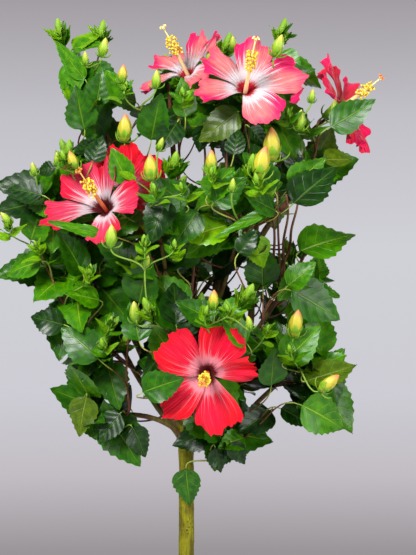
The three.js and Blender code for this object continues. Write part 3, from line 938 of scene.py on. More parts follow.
# Each bloom's place is its share of the way across the crown's box: right, back, up.
BLOOMS = [
    Bloom((-0.02, -0.32, 0.79), (-0.40, -0.44, 0.80), CORAL, [
        (82, 0.92, 0.58, 52, 0.9), (32, 1.08, 0.46, 60, 0.9), (-22, 0.86, 0.92, 88, 0.9),
        (-142, 0.98, 1.0, 92, 1.1), (158, 1.02, 1.0, 78, 1.1)], bend=(-0.4, 0, 0.5), size=0.076),
    Bloom((0.27, -0.54, 0.71), (0.08, -0.82, 0.52), CORAL, [
        (76, 1.02, 0.94, 68, 1.0), (10, 1.14, 1.04, 80, 0.9), (-64, 0.96, 1.12, 84, 0.9),
        (-167, 1.02, 0.76, 84, 1.0), (140, 1.02, 0.80, 78, 1.0)], bend=(0.4, 0, 1.6)),
    Bloom((0.75, -0.26, 0.655), (0.80, -0.36, 0.46), SCARLET, [
        (84, 1.04, 0.9, 84, 1.5), (24, 0.9, 0.9, 74, 1.5), (-58, 1.06, 0.8, 100, 1.5),
        (-120, 1.00, 0.9, 92, 1.6), (150, 0.98, 0.9, 84, 1.5)], bend=(0.2, 0, 0.5)),
    Bloom((-0.42, -0.66, 0.22), (-0.34, -0.72, 0.50), ROSE, [
        (88, 0.98, 0.46, 64, 1.0), (141, 1.08, 1.10, 78, 1.0), (197, 1.24, 0.84, 85, 1.0),
        (-74, 0.82, 0.92, 88, 1.0), (14, 0.84, 0.92, 72, 1.0)], bend=(-0.5, 0, 0.8)),
    Bloom((-0.33, -0.46, 0.31), (0.20, 0.86, 0.34), RED, [
        (84, 1.00, 1.15, 78, 1.0), (20, 0.94, 1.0, 80, 1.0), (-52, 0.60, 0.8, 84, 1.1),
        (-136, 1.00, 1.1, 84, 1.0), (148, 1.00, 1.15, 78, 1.0)], size=0.066),
    Bloom((0.08, -0.76, -0.44), (-0.08, -0.97, -0.10), RED, [
        (142, 1.02, 1.10, 80, 0.9), (64, 0.98, 1.14, 82, 1.0), (8, 0.98, 0.56, 74, 1.8),
        (-74, 1.10, 1.10, 80, 0.9), (-142, 1.06, 1.04, 82, 1.0)], bend=(-0.1, 0, -0.2), size=0.080),
    Bloom((0.34, 0.62, 0.72), (0.22, 0.80, 0.55), CORAL, [
        (90, 1.0, 1.0, 80, 1.0), (18, 1.0, 1.0, 80, 1.0), (-54, 1.0, 1.0, 78, 1.0),
        (-126, 1.0, 1.0, 80, 1.0), (162, 1.0, 1.0, 80, 1.0)]),
    Bloom((-0.52, 0.62, 0.12), (-0.45, 0.80, 0.30), RED, [
        (96, 1.0, 1.0, 78, 1.0), (22, 1.0, 0.95, 82, 1.1), (-48, 1.0, 1.0, 78, 1.0),
        (-122, 1.0, 1.0, 80, 1.0), (166, 1.0, 1.0, 80, 1.0)], size=0.074),
    Bloom((0.12, 0.68, -0.42), (0.15, 0.98, 0.12), ROSE, [
        (86, 1.0, 1.0, 80, 1.0), (12, 1.0, 1.0, 78, 1.0), (-62, 1.0, 1.0, 80, 1.0),
        (-130, 1.0, 0.95, 80, 1.1), (158, 1.0, 1.0, 80, 1.0)], size=0.076),
]


# The larger buds: place as shares of the crown's front (right, up), length, the way each leans
# to the right, and tint.
BUDS = [
    (-0.33, 0.57, 0.038, 0.05, BUD_YELLOW), (-0.19, 0.39, 0.034, -0.05, BUD_YELLOW),
    (0.10, 0.42, 0.030, 0.00, BUD_YELLOW), (0.34, 0.41, 0.044, 0.22, BUD_YELLOW),
    (0.40, 0.50, 0.046, -0.05, BUD_YELLOW), (-0.38, 0.12, 0.030, 0.05, BUD_GREEN),
    (-0.27, -0.18, 0.029, -0.10, BUD_GREEN), (0.11, -0.13, 0.026, 0.05, BUD_YELLOW),
    (0.52, -0.23, 0.038, 0.15, BUD_YELLOW), (0.68, -0.47, 0.034, 0.75, BUD_YELLOW),
    (0.54, 0.60, 0.028, 0.10, BUD_GREEN), (-0.17, 0.76, 0.024, 0.05, BUD_GREEN),
    (-0.44, 0.91, 0.026, 0.20, BUD_GREEN), (-0.34, 0.79, 0.025, 0.10, BUD_YELLOW),
    (-0.58, 0.43, 0.026, -0.30, BUD_YELLOW), (-0.53, 0.86, 0.018, -0.05, BUD_GREEN),
    (-0.15, 0.50, 0.018, 0.30, BUD_GREEN), (0.09, 0.87, 0.018, 0.10, BUD_GREEN),
    (0.21, 0.93, 0.021, -0.05, BUD_GREEN), (0.43, 0.90, 0.030, 0.30, BUD_GREEN),
    (0.60, 0.70, 0.018, 0.10, BUD_GREEN), (0.72, 0.66, 0.024, 0.10, BUD_GREEN),
    (-0.78, 0.40, 0.018, -0.20, BUD_GREEN), (-0.92, 0.20, 0.020, -0.60, BUD_GREEN),
    (-0.66, 0.44, 0.017, 0.00, BUD_GREEN), (-0.21, 0.02, 0.018, 0.20, BUD_GREEN),
    (0.28, -0.22, 0.018, -0.20, BUD_GREEN), (0.20, 0.32, 0.017, 0.10, BUD_GREEN),
]

# Leaves that stand out at the crown's front and sides: where each starts and ends, as shares of
# the crown's front (right, up), and its tint.
SHOWN_LEAVES = [
    (-0.54, 0.56, -0.59, 0.74, GREEN), (-0.48, 0.66, -0.44, 0.81, GREEN),
    (-0.33, 0.68, -0.43, 0.82, BRIGHT), (-0.38, 0.47, -0.50, 0.66, GREEN),
    (-0.48, 0.49, -0.60, 0.47, DEEP), (-0.49, 0.41, -0.44, 0.53, DEEP),
    (-0.67, 0.39, -0.78, 0.38, DEEP), (-0.74, 0.28, -0.92, 0.32, DEEP),
    (-0.81, 0.10, -0.73, 0.28, BRIGHT), (-0.02, 0.23, -0.19, 0.34, GREEN),
    (-0.11, 0.25, -0.22, 0.08, DEEP), (0.03, 0.21, -0.09, 0.05, GREEN),
    (-0.20, 0.51, -0.16, 0.70, GREEN), (-0.03, 0.60, -0.05, 0.76, BRIGHT),
    (0.23, 0.62, 0.04, 0.50, OLIVE), (-0.07, 0.58, -0.16, 0.45, DEEP),
    (0.06, 0.57, 0.03, 0.46, DEEP), (0.21, 0.44, 0.23, 0.56, DEEP), (0.29, 0.56, 0.38, 0.49, DEEP),
    (0.50, 0.24, 0.71, 0.40, DEEP), (0.66, 0.43, 0.83, 0.44, OLIVE),
    (0.54, 0.05, 0.82, 0.14, BRIGHT), (0.11, -0.04, 0.30, 0.06, DEEP),
    (0.08, 0.27, 0.20, 0.39, BRIGHT), (0.11, 0.24, 0.27, 0.34, GREEN),
    (0.41, 0.21, 0.26, 0.27, GREEN), (0.40, 0.29, 0.24, 0.44, GREEN),
    (0.23, 0.04, 0.33, 0.13, DEEP), (0.16, -0.20, 0.30, -0.14, BRIGHT),
    (-0.07, -0.01, 0.01, 0.18, GREEN), (-0.26, -0.02, -0.46, 0.10, GREEN),
    (-0.54, -0.04, -0.65, 0.14, GREEN), (-0.26, -0.16, -0.20, 0.05, GREEN),
    (-0.75, 0.01, -0.96, -0.03, BRIGHT), (-0.64, -0.25, -0.83, -0.21, DEEP),
    (-0.46, -0.39, -0.65, -0.24, GREEN), (-0.46, -0.15, -0.63, -0.11, BRIGHT),
    (-0.53, -0.55, -0.58, -0.72, OLIVE), (-0.36, -0.62, -0.48, -0.74, DEEP),
    (-0.30, -0.68, -0.22, -0.81, DEEP), (-0.03, -0.86, -0.01, -1.03, GREEN),
    (0.12, -0.76, 0.15, -0.87, DEEP), (-0.25, -0.31, -0.29, -0.15, GREEN),
    (-0.19, -0.08, 0.02, -0.15, OLIVE), (0.36, -0.09, 0.35, 0.10, GREEN),
    (0.48, -0.09, 0.62, 0.01, BRIGHT), (0.50, -0.11, 0.76, -0.22, GREEN),
    (0.46, -0.40, 0.65, -0.26, BRIGHT), (0.57, -0.48, 0.83, -0.42, OLIVE),
    (0.55, -0.58, 0.80, -0.68, BRIGHT), (0.45, -0.60, 0.62, -0.67, DEEP),
    (0.40, -0.61, 0.24, -0.71, DEEP), (0.40, -0.50, 0.41, -0.34, GREEN),
    (0.27, -0.32, 0.13, -0.19, BRIGHT), (0.20, -0.74, 0.27, -0.84, DEEP),
]

# Leaves that lie before a bloom, or that show their side: start and end in the same way, then how
# far back the leaf lies in the crown's box, its width as a share of its length, and its tint.
LEAVES_BEFORE_BLOOMS = [
    (-0.23, -0.51, -0.03, -0.44, -0.90, 0.72, GREEN),
    (-0.31, 0.33, -0.40, 0.47, -0.66, 0.66, BRIGHT), (-0.27, 0.33, -0.36, 0.37, -0.70, 0.62, LIME),
    (-0.44, 0.12, -0.70, 0.16, -0.76, 0.24, BRIGHT), (0.69, 0.56, 0.92, 0.66, -0.52, 0.62, GREEN),
    (0.37, 0.21, 0.11, 0.10, -0.84, 0.22, BRIGHT), (-0.54, 0.77, -0.70, 0.93, -0.30, 0.36, BRIGHT),
    (0.10, -0.71, -0.10, -0.77, -0.18, 0.74, DEEP), (0.49, 0.31, 0.66, 0.44, -0.62, 0.68, BRIGHT),
]


# Where the front's young shoots end in small bright leaves round a bud, in the same way.
YOUNG_TIPS = [
    (0.07, -0.20), (0.18, -0.19), (0.37, -0.27), (-0.22, 0.07), (-0.50, -0.04), (0.10, 0.35),
    (0.32, 0.31), (-0.91, 0.15), (-0.77, 0.07), (-0.62, 0.42), (-0.04, 0.68), (-0.33, 0.71),
    (-0.40, -0.25), (-0.43, -0.34), (0.12, 0.88), (0.57, 0.57), (0.48, 0.60), (-0.17, 0.28),
    (-0.04, 0.29), (-0.08, 0.06), (-0.28, 0.00), (0.49, -0.36),
]


# ----------------------------------------------------------------------- growth


class Twigs:
    """Every stretch of wood so far, so that what grows later can find what to grow from."""

    def __init__(self):
        self.points, self.directions = [], []

    def note(self, line):
        self.points.extend(line)
        self.directions.extend(unit(direction) for direction in np.gradient(line, axis=0))

    def nearest(self, target, avoid=None):
        """The best place for a stalk to target: near it, and lower rather than higher."""
        points = np.array(self.points)
        arms = target - points
        level = np.linalg.norm(arms[:, :2], axis=1)
        cost = np.linalg.norm(arms, axis=1) + 1.2 * np.maximum(0.0, 0.008 + 0.5 * level - arms[:, 2])
        if avoid is not None:
            cost += 0.3 * np.array([avoid.hides(point) for point in points])
        cost += 0.5 * (np.linalg.norm(arms, axis=1) < 0.018)
        best = int(np.argmin(cost))
        return points[best], self.directions[best]


def add_stalk(sheaf, wood, target, arrive, radius, slot, avoid=None):
    """A side twig from the nearest wood to target, which it meets going the way of arrive."""
    start, leave = wood.nearest(target, avoid)
    line = sweep(start, unit(leave + unit(target - start)), target, arrive, 12)
    add_tube(sheaf, line, np.linspace(1.3 * radius, radius, 12), 6, slot)
    wood.note(line)


def before_bloom(*points):
    """Whether any of the points lies in the space before a bloom."""
    return any(bloom.hides(point) for bloom in BLOOMS for point in points)


def sphere_directions(count):
    index = np.arange(count) + 0.5
    height = 1.0 - 2.0 * index / count
    turn = index * GOLDEN_ANGLE
    ring = np.sqrt(1.0 - height**2)
    return np.stack([ring * np.cos(turn), ring * np.sin(turn), height], axis=1)


class Grower:
    """Fills one mass with shoots and leaves."""

    def __init__(self, mass, start, direction, radius, wood):
        self.mass = mass
        self.rng = random.Random(mass.name)
        self.leaves, self.twigs = Sheaf(), Sheaf()
        self.wood = wood
        self.leader = self.grow_leader(start, direction, radius)

    def grow_leader(self, start, direction, radius):
        """The bough's last stretch, from where it enters the mass to near its far side."""
        middle = self.mass.middle
        top = middle + unit(middle - start + UP * 0.05) * self.mass.half.min() * 0.45
        handle = start + direction * np.linalg.norm(top - start) * 0.4
        line = bezier(start, handle, middle * 0.6 + top * 0.4, top, 14)
        radii = np.linspace(radius, SHOOT_RADIUS * 1.1, 14)
        add_tube(self.twigs, line, radii, 8, BARK)
        self.wood.note(line)
        return line

    def targets(self):
        """Where shoots go: to each peak, and between the peaks evenly over the surface."""
        mass = self.mass
        found = [(unit(peak - mass.middle), peak) for peak in mass.peaks]
        area = 4 * math.pi * float(np.prod(mass.half)) ** (2 / 3)
        height = abs(mass.middle[2] - CROWN_MIDDLE[2]) / CROWN_HALF[2]
        spacing = SHOOT_SPACING * (1.0 + END_THINNING * smoothstep(0.35, 0.75, height))
        spacing *= OPEN_MASSES.get(mass.name, 1.0)
        inwards = unit((CROWN_MIDDLE - mass.middle) * (1, 1, 0))
        for direction in sphere_directions(round(area / spacing**2)):
            crowded = any(direction @ other > SHOOT_ROOM for other, _ in found)
            if not crowded and direction @ inwards <= INWARDS_ROOM:
                found.append((direction, None))
        return found

    def grow(self):
        for direction, peak in self.targets():
            spire = peak is not None and direction[2] > SPIRE_RISE
            reach = self.mass.reach(direction)
            inset = SPIRE_INSET if spire else LEAF_INSET
            if peak is not None and not spire:
                inset = LEAF_LENGTH * 1.10
            end = self.mass.middle + direction * max(reach - inset, 0.35 * reach)
            if in_gap(end) or before_bloom(end):
                continue
            line = self.grow_shoot(end, direction)
            if peak is not None and not spire:
                self.reach_peak(line, peak, direction)
            elif spire or (direction[2] > -0.1 and self.rng.random() < FLOWERING_SHARE):
                self.end_in_buds(line)
            self.dress_shoot(line, spire)

    def grow_shoot(self, end, direction):
        """A shoot leaves the leader where it can go on most nearly straight."""
        leader = self.leader
        ahead = np.gradient(leader, axis=0)
        arms = end - leader
        spans = np.linalg.norm(arms, axis=1)
        straight = np.einsum("ij,ij->i", arms, ahead) / (spans * np.linalg.norm(ahead, axis=1))
        pick = int(np.argmax(straight[:-1] - spans[:-1] / 0.18))
        leave = unit(unit(ahead[pick]) * 0.5 + unit(arms[pick]))
        line = sweep(leader[pick], leave, end, unit(direction + UP * 0.75), 14, first=0.35)
        radii = np.linspace(SHOOT_RADIUS, SHOOT_TIP_RADIUS, 14)
        add_tube(self.twigs, line[:10], radii[:10], 6, BARK)
        add_tube(self.twigs, line[9:], radii[9:], 6, GREEN_TWIG)
        self.wood.note(line)
        return line

    def dress_shoot(self, line, spire, shaded=False):
        """Leaves in a spiral, from the tip down: young, small and bright first, then larger."""
        rng = self.rng
        reached = reached_along(line)
        ahead = np.gradient(line, axis=0)
        turn = rng.uniform(0, 6.28)
        below = 0.016 if spire else 0.004
        while below < reached[-1] * 0.86:
            at = reached[-1] - below
            here = places_at(at, reached, line)
            row = min(int(at / reached[-1] * (len(line) - 1)), len(line) - 2)
            tangent = unit(ahead[row])
            side = across(UP + FRONT * 0.3, tangent)
            out = turned(side, tangent, turn)
            grown = smoothstep(0.0, 0.055, below) if spire else smoothstep(-0.03, 0.03, below)
            length = LEAF_LENGTH * (0.42 + 0.58 * grown) * rng.uniform(0.82, 1.15)
            # Painted shade: leaves on shaded shoots count as further down the shoot, so they get darker
            # tints.
            self.hang_leaf(here, tangent, out, length, below + (0.07 if shaded else 0.0))
            turn += GOLDEN_ANGLE
            spacing = YOUNG_INTERNODE + (OLD_INTERNODE - YOUNG_INTERNODE) * grown
            below += spacing * rng.uniform(0.8, 1.2)

    def hang_leaf(self, here, tangent, out, length, below):
        """A leaf on its stalk, unless it would crowd others, hide a bloom or leave the crown."""
        rng = self.rng
        outward = unit(here - self.mass.middle)
        stalk_way = unit(out * 0.85 + tangent * 0.60 + UP * 0.10)
        stalk = PETIOLE_LENGTH * (length / LEAF_LENGTH) * rng.uniform(0.7, 1.3)
        base = here + stalk_way * stalk
        way = unit(out * 0.85 + tangent * 0.25 + outward * 0.30 + UP * rng.uniform(-0.55, 0.25))
        spin = np.array([rng.uniform(-1, 1) for _ in range(3)])
        for attempt in range(4):
            tip = base + way * length * 0.96
            if in_crown(tip) and in_crown(base) and not in_gap((base + tip) / 2):
                break
            if length < LEAST_LEAF:
                return
            way = unit(way - outward * 0.45 - UP * 0.10)
            length *= 0.90
            base = here + stalk_way * stalk * (0.8 - 0.2 * attempt)
        else:
            return
        middle = base + way * length * 0.5
        if before_bloom(base, middle, tip) or any(hides_bud(p) for p in (base, middle, tip)):
            return
        if bars_the_sky(base, tip, 0.24 * length):
            return
        if hides_upright(middle) and rng.random() < UPRIGHT_SHOWN:
            return
        if not CROWD.takes(middle, length * LEAF_ELBOW_ROOM):
            return
        normal = light_side(middle) + spin * 0.38
        add_petiole(self.twigs, here, stalk_way, base, way)
        add_leaf(self.leaves, base, way, normal, length, self.tint(below, middle), rng)

    def clothe_bough(self, bough):
        """Short leafy side shoots on the stretch of a bough that crosses the crown's inside."""
        rng = self.rng
        reached = reached_along(bough)
        ahead = np.gradient(bough, axis=0)
        turn = rng.uniform(0, 6.28)
        for at in np.arange(0.25 * reached[-1], reached[-1], SIDE_SHOOT_SPACING):
            row = int(np.searchsorted(reached, at))
            here, tangent = bough[row], unit(ahead[row])
            out = turned(across(FRONT + UP * 0.2, tangent), tangent, turn)
            turn += GOLDEN_ANGLE
            end = here + unit(out + tangent * 0.3 + UP * 0.35) * rng.uniform(0.045, 0.075)
            if not in_crown(end):
                continue
            line = sweep(here, out, end, unit(out * 0.3 + UP), 10, first=0.35)
            add_tube(self.twigs, line, np.linspace(0.0016, 0.0008, 10), 5, BARK)
            self.wood.note(line)
            self.dress_shoot(line, False, shaded=True)

    def tint(self, below, place):
        """Leaves near a shoot's tip are bright and those further down darker; painted light and shade
        also make leaves high in the crown brighter and those deep or low in it darker.
        """
        height = (place[2] - CROWN_LOW[2]) / (2 * CROWN_HALF[2])
        deep = np.clip(crown_depth(place) / 0.05, 0.0, 1.0)
        # Painted light and shade: the height term brightens high leaves, and the depth and low terms
        # darken deep and low ones. The tip term is the young leaves' own paler green.
        light = 0.62 * (1.0 - smoothstep(0.0, 0.10, below)) + 0.30 * height - 0.28 * deep
        light += self.rng.uniform(-0.16, 0.22) - 0.22 * smoothstep(0.45, 0.10, height)
        for least, tint in TINTS_BY_PAINTED_LIGHT:
            if light > least:
                return tint
        return OLIVE if self.rng.random() < OLIVE_SHARE else DEEP

    def end_in_buds(self, line):
        """The tip of a flowering shoot: green buds on stalks, and folded young leaves."""
        rng = self.rng
        tip, tangent = line[-1], unit(line[-1] - line[-2])
        if before_bloom(tip + tangent * 0.02):
            return
        side = across(FRONT + UP * 0.2, tangent)
        for index in range(rng.choice((1, 1, 2))):
            out = turned(side, tangent, index * GOLDEN_ANGLE + rng.uniform(0, 1))
            way = unit(tangent + UP * 0.3 + out * (0.12 + 0.38 * index))
            foot = tip - tangent * 0.009 * index + way * rng.uniform(0.003, 0.010)
            start = tip - tangent * 0.010 * index
            add_tube(self.twigs, np.linspace(start, foot, 4), 0.0008, 5, GREEN_TWIG)
            size = rng.uniform(0.014, 0.023)
            add_bud(CLOSED_BUDS, foot, way, size, size * 0.27, CALYX, size * 0.36, rng)
        for index in range(4):
            out = turned(side, tangent, index * GOLDEN_ANGLE + 2.0)
            way = unit(tangent + out * rng.uniform(0.4, 0.9))
            length = rng.uniform(0.016, 0.034)
            start = tip - tangent * rng.uniform(0.002, 0.014)
            tint = LIME if index % 2 else BRIGHT
            add_leaf(self.leaves, start, way, tangent + FRONT * 0.4, length, tint, rng, 0.44)

    def reach_peak(self, line, peak, direction):
        """A large leaf whose tip is the mass's peak."""
        rng = self.rng
        length = LEAF_LENGTH * rng.uniform(1.02, 1.18)
        start = line[-1]
        way = unit(unit(peak - start) * 0.8 + direction * 0.3 - UP * 0.10)
        base = peak - way * length * 0.95
        middle = (base + peak) / 2
        if before_bloom(middle) or not CROWD.takes(middle, length * LEAF_ELBOW_ROOM):
            return
        add_petiole(self.twigs, start, unit(line[-1] - line[-2]), base, way)
        normal = light_side(peak) + FRONT * 0.5 * np.sign(-(peak[1] - CROWN_MIDDLE[1]))
        tint = rng.choice((GREEN, BRIGHT, GREEN, DEEP))
        add_leaf(self.leaves, base, way, normal, length, tint, rng)


class Crowd:
    """Where leaves' middles are, so that later leaves keep clear of them."""

    def __init__(self):
        self.middles = np.empty((MOST_LEAVES, 3))
        self.count = 0

    def takes(self, middle, room):
        near = np.linalg.norm(self.middles[: self.count] - middle, axis=1)
        if self.count and near.min() < room:
            return False
        self.middles[self.count] = middle
        self.count += 1
        return True


CROWD = Crowd()


def on_front(right, up):
    """A place on the crown's front, by its shares to the right and up the crown's box."""
    place = crown(right, -1.3, up)
    depths = []
    for aside, above in FRONT_PROBES:
        start = Vector(place + (aside, 0.0, above))
        hits = [mass.tree.ray_cast(start, Vector(-FRONT))[0] for mass in MASSES.values()]
        depths += [hit.y for hit in hits if hit]
    if not depths:
        near = min(MASSES.values(), key=lambda m: np.linalg.norm((m.middle - place) * (1, 0, 1)))
        depths = [near.middle[1] - 0.3 * near.half[1]]
    place[1] = np.mean(sorted(depths)[:3])
    return place


FRONT_PROBES = [(0.0, 0.0)] + [(0.022 * math.cos(turn), 0.022 * math.sin(turn)) for turn in turns(8)]


def raise_uprights(wood):
    """Upright brown shoots, each from the nearest wood below its foot, with a slight sway."""
    sheaf = Sheaf()
    rng = random.Random("uprights")
    for foot, top in UPRIGHT_LINES:
        start, leave = wood.nearest(foot - UP * 0.03)
        low = sweep(start, leave, foot, unit(top - foot), 10)
        share = np.linspace(0.0, 1.0, 16)[1:, None]
        sway = np.sin(share * math.pi * rng.uniform(1.2, 2.2)) * rng.uniform(-0.004, 0.004)
        high = foot + (top - foot) * share + np.array([1.0, 0.4, 0.0]) * sway
        line = smooth_line(np.concatenate([low, high]), passes=4)
        radii = np.linspace(UPRIGHT_RADIUS, 0.6 * UPRIGHT_RADIUS, len(line))
        add_tube(sheaf, line, radii, 8, BARK)
        wood.note(line)
    finish_piece(sheaf.build("upright_shoots", TWIG_KINDS), "bough_bark")


def place_shown_leaves():
    """Where each chosen leaf starts and ends, its width and its tint. Growth keeps clear of them."""
    chosen = []
    for right, up, tip_right, tip_up, tint in SHOWN_LEAVES:
        base, tip = on_front(right, up), on_front(tip_right, tip_up)
        flat = np.linalg.norm((tip - base) * (1, 0, 1))
        base[1] += 0.012
        tip[1] = base[1] + np.clip(tip[1] - base[1], -0.45 * flat, 0.30 * flat)
        chosen.append((base, tip, LEAF_WIDTH_SHARE, tint))
    for right, up, tip_right, tip_up, back, width, tint in LEAVES_BEFORE_BLOOMS:
        base, tip = crown(right, back, up), crown(tip_right, back - 0.03, tip_up)
        chosen.append((base, tip, width, tint))
    for base, tip, _, _ in chosen:
        CROWD.takes((base + tip) / 2, 0.0)
    return chosen


def sprout_tips(leaves, twigs, wood):
    """Small bright leaves in a spiral round a green bud, each on its own short shoot."""
    rng = random.Random("young tips")
    for right, up in YOUNG_TIPS:
        way = unit([rng.uniform(-0.35, 0.35), -0.35, 1.0])
        tip = on_front(right, up) + FRONT * 0.014
        add_stalk(twigs, wood, tip, way, 0.0009, GREEN_TWIG)
        side = across(FRONT, way)
        turn = rng.uniform(0, 6.28)
        for index in range(6):
            out = turned(side, way, turn + index * GOLDEN_ANGLE)
            leaf_way = unit(way * (1.0 - 0.13 * index) + out * (0.45 + 0.12 * index))
            length = rng.uniform(0.013, 0.019) + 0.0032 * index
            foot = tip - way * 0.0035 * index
            tint = LIME if rng.random() < 0.6 else BRIGHT
            add_leaf(leaves, foot, leaf_way, way + FRONT * 0.4, length, tint, rng, 0.46)
        size = rng.uniform(0.010, 0.016)
        add_bud(CLOSED_BUDS, tip, way, size, size * 0.27, CALYX, size * 0.6, rng)


def show_leaves(chosen, wood):
    """The chosen leaves, face to the light, each on a stalk from the nearest wood."""
    leaves, twigs = Sheaf(), Sheaf()
    rng = random.Random("shown leaves")
    for base, tip, width, tint in chosen:
        way = unit(tip - base)
        length = np.linalg.norm(tip - base)
        start, leave = wood.nearest(base - way * 0.012 + UP * -0.008)
        line = sweep(start, leave, base, way, 10, last=0.4)
        span = np.linalg.norm(base - start)
        woody = 6 if span > 0.05 else 0
        radii = np.linspace(1.8, 1.0, 10) * PETIOLE_RADIUS
        if woody:
            add_tube(twigs, line[: woody + 1], radii[: woody + 1], 5, BARK)
        add_tube(twigs, line[woody:], radii[woody:], 5, PETIOLE)
        normal = FRONT * 1.1 + UP * 0.45 + np.array([rng.uniform(-1, 1) for _ in range(3)]) * 0.45
        add_leaf(leaves, base, way, normal, length, tint, rng, width)
    sprout_tips(leaves, twigs, wood)
    finish_piece(leaves.build("leaves_shown", LEAF_TINTS), "foliage")
    finish_piece(twigs.build("leaf_stalks", TWIG_KINDS), "bough_bark")


def place_bud(right, up):
    return on_front(right, up) + FRONT * BUD_STANDS_OUT


def hides_bud(point):
    """Whether a leaf that passes here would stand before one of the larger buds."""
    aside = np.linalg.norm(BUDS_SEEN - seen_at(point), axis=1)
    return bool(np.any((aside < BUD_CLEARANCE) & (BUD_PLACES[:, 1] > point[1] - 0.004)))


BUD_PLACES = np.array([place_bud(right, up) for right, up, length, _, _ in BUDS if length > CLEARED_BUD])
BUDS_SEEN = np.array([seen_at(place) for place in BUD_PLACES])


def hang_buds(sheaf, stalks, wood):
    """The larger buds, each on its own green stalk."""
    rng = random.Random("buds")
    for right, up, length, lean, tint in BUDS:
        place = place_bud(right, up)
        way = unit([lean, -0.25, 1.0 - 0.5 * abs(lean)])
        foot = place - way * length * 0.5 - UP * 0.004
        add_stalk(stalks, wood, foot, way, 0.0011, GREEN_TWIG)
        add_bud(sheaf, foot, way, length, length * 0.245, tint, length * 0.45, rng)


OPEN_BLOOMS, CLOSED_BUDS = Sheaf(), Sheaf()


def bark_relief(points, ways):
    """Fine ridges along a limb, and low lumps."""
    swell = np.ones(ways.shape[:2])
    for row, column in np.ndindex(*swell.shape):
        place = points[row] + ways[row, column] * 0.004
        swell[row, column] += 0.07 * lumps(place, (420.0, 420.0, 90.0)) + 0.10 * lumps(place, 75.0)
    return swell


def make_limb(name, mass, wood):
    """A bough with bark, from inside what it grows from to where it enters its mass."""
    points = node_points(name)
    tip = points[np.argmin(np.linalg.norm(points - mass.middle, axis=1))]
    root = points[np.argmax(np.linalg.norm(points - tip, axis=1))]
    line, radii = walk_limb(name, root, tip)
    back = line[0] - unit(line[2] - line[0]) * 0.010
    ahead = line[-1] + unit(line[-1] - line[-3]) * 0.004
    line = np.concatenate([[back], line, [ahead]])
    radii = np.concatenate([[radii[1]], radii, [radii[-2]]])
    radii[:3] = radii[3]
    radii[-3:] = radii[-4]
    old = np.linspace(0, 1, len(line))
    new = np.linspace(0, 1, int(reached_along(line)[-1] / BOUGH_STEP))
    fine = smooth_line(places_at(new, old, line), passes=6)
    radii = np.interp(new, old, radii)
    sheaf = Sheaf()
    add_tube(sheaf, fine, radii, 14, 0, bark_relief)
    finish_piece(sheaf.build(name + "_bark", [BOUGH_BARK]), "bough_bark", name)
    wood.note(line)
    return fine, radii[-1]


def finish_piece(piece, slot, *nodes):
    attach(piece, "root")
    if nodes:
        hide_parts(*nodes)


BOUGH_BARK = bark_material("bough_bark", rgb(112, 108, 52), rgb(96, 68, 44), rgb(160, 138, 104), 0.5)
STEM_BARK = bark_material("stem_bark", rgb(128, 126, 0), rgb(90, 82, 4), rgb(60, 44, 30), 1.0)


# ---------------------------------------------------------- stem, pot and soil


def level_ways(count):
    """Level ways, spread evenly round the plant's axis."""
    return round_about(RIGHT, -FRONT, turns(count))


def stem_middles(heights):
    """The stem's middle line: at each height, the mean of the points near it."""
    points = node_points("stem")
    middles = []
    for height in heights:
        near = points[np.abs(points[:, 2] - height) < 0.045]
        weight = np.exp(-(((near[:, 2] - height) / 0.02) ** 2))
        middles.append((near * weight[:, None]).sum(axis=0) / weight.sum())
    middles = smooth_line(np.array(middles), passes=12)
    middles[:, 2] = heights
    return middles


def make_stem():
    """The clear stem: the solid's own section at each height, with bark raised on it."""
    tree = node_tree("stem")
    low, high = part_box("stem")
    heights = np.linspace(low[2] + 0.0002, high[2] - 0.0002, STEM_ROWS)
    rings = np.empty((STEM_ROWS, STEM_SIDES, 3))
    for row, middle in enumerate(stem_middles(heights)):
        for column, out in enumerate(level_ways(STEM_SIDES)):
            reach = tree.ray_cast(Vector(middle), Vector(out))[3] or 0.011
            place = middle + out * reach
            raised = 0.00030 * lumps(place, (230.0, 230.0, 26.0)) + 0.00045 * lumps(place, 55.0)
            pore = max(0.0, lumps(place, (520.0, 520.0, 300.0)) - 0.25)
            rings[row, column] = place + out * (raised + 0.0012 * pore)
    sheaf = Sheaf()
    sheaf.add_rings(rings, 0)
    end = fan(np.arange(STEM_SIDES), STEM_SIDES)
    for ring, faces in ((rings[0], end), (rings[-1], end[:, ::-1])):
        sheaf.add(np.concatenate([ring, [ring.mean(axis=0)]]), 0.5, 0, faces)
    finish_piece(sheaf.build("stem_bark_skin", [STEM_BARK]), "stem_bark", "stem")


def round_corner(before, corner, after, radius, steps=5):
    """Points that turn a profile's corner in a small arc."""
    before, corner, after = (np.array(p, float) for p in (before, corner, after))
    start = corner + unit(before - corner) * radius
    end = corner + unit(after - corner) * radius
    t = np.linspace(0, 1, steps)[:, None]
    return ((1 - t) ** 2 * start + 2 * t * (1 - t) * corner + t**2 * end).tolist()


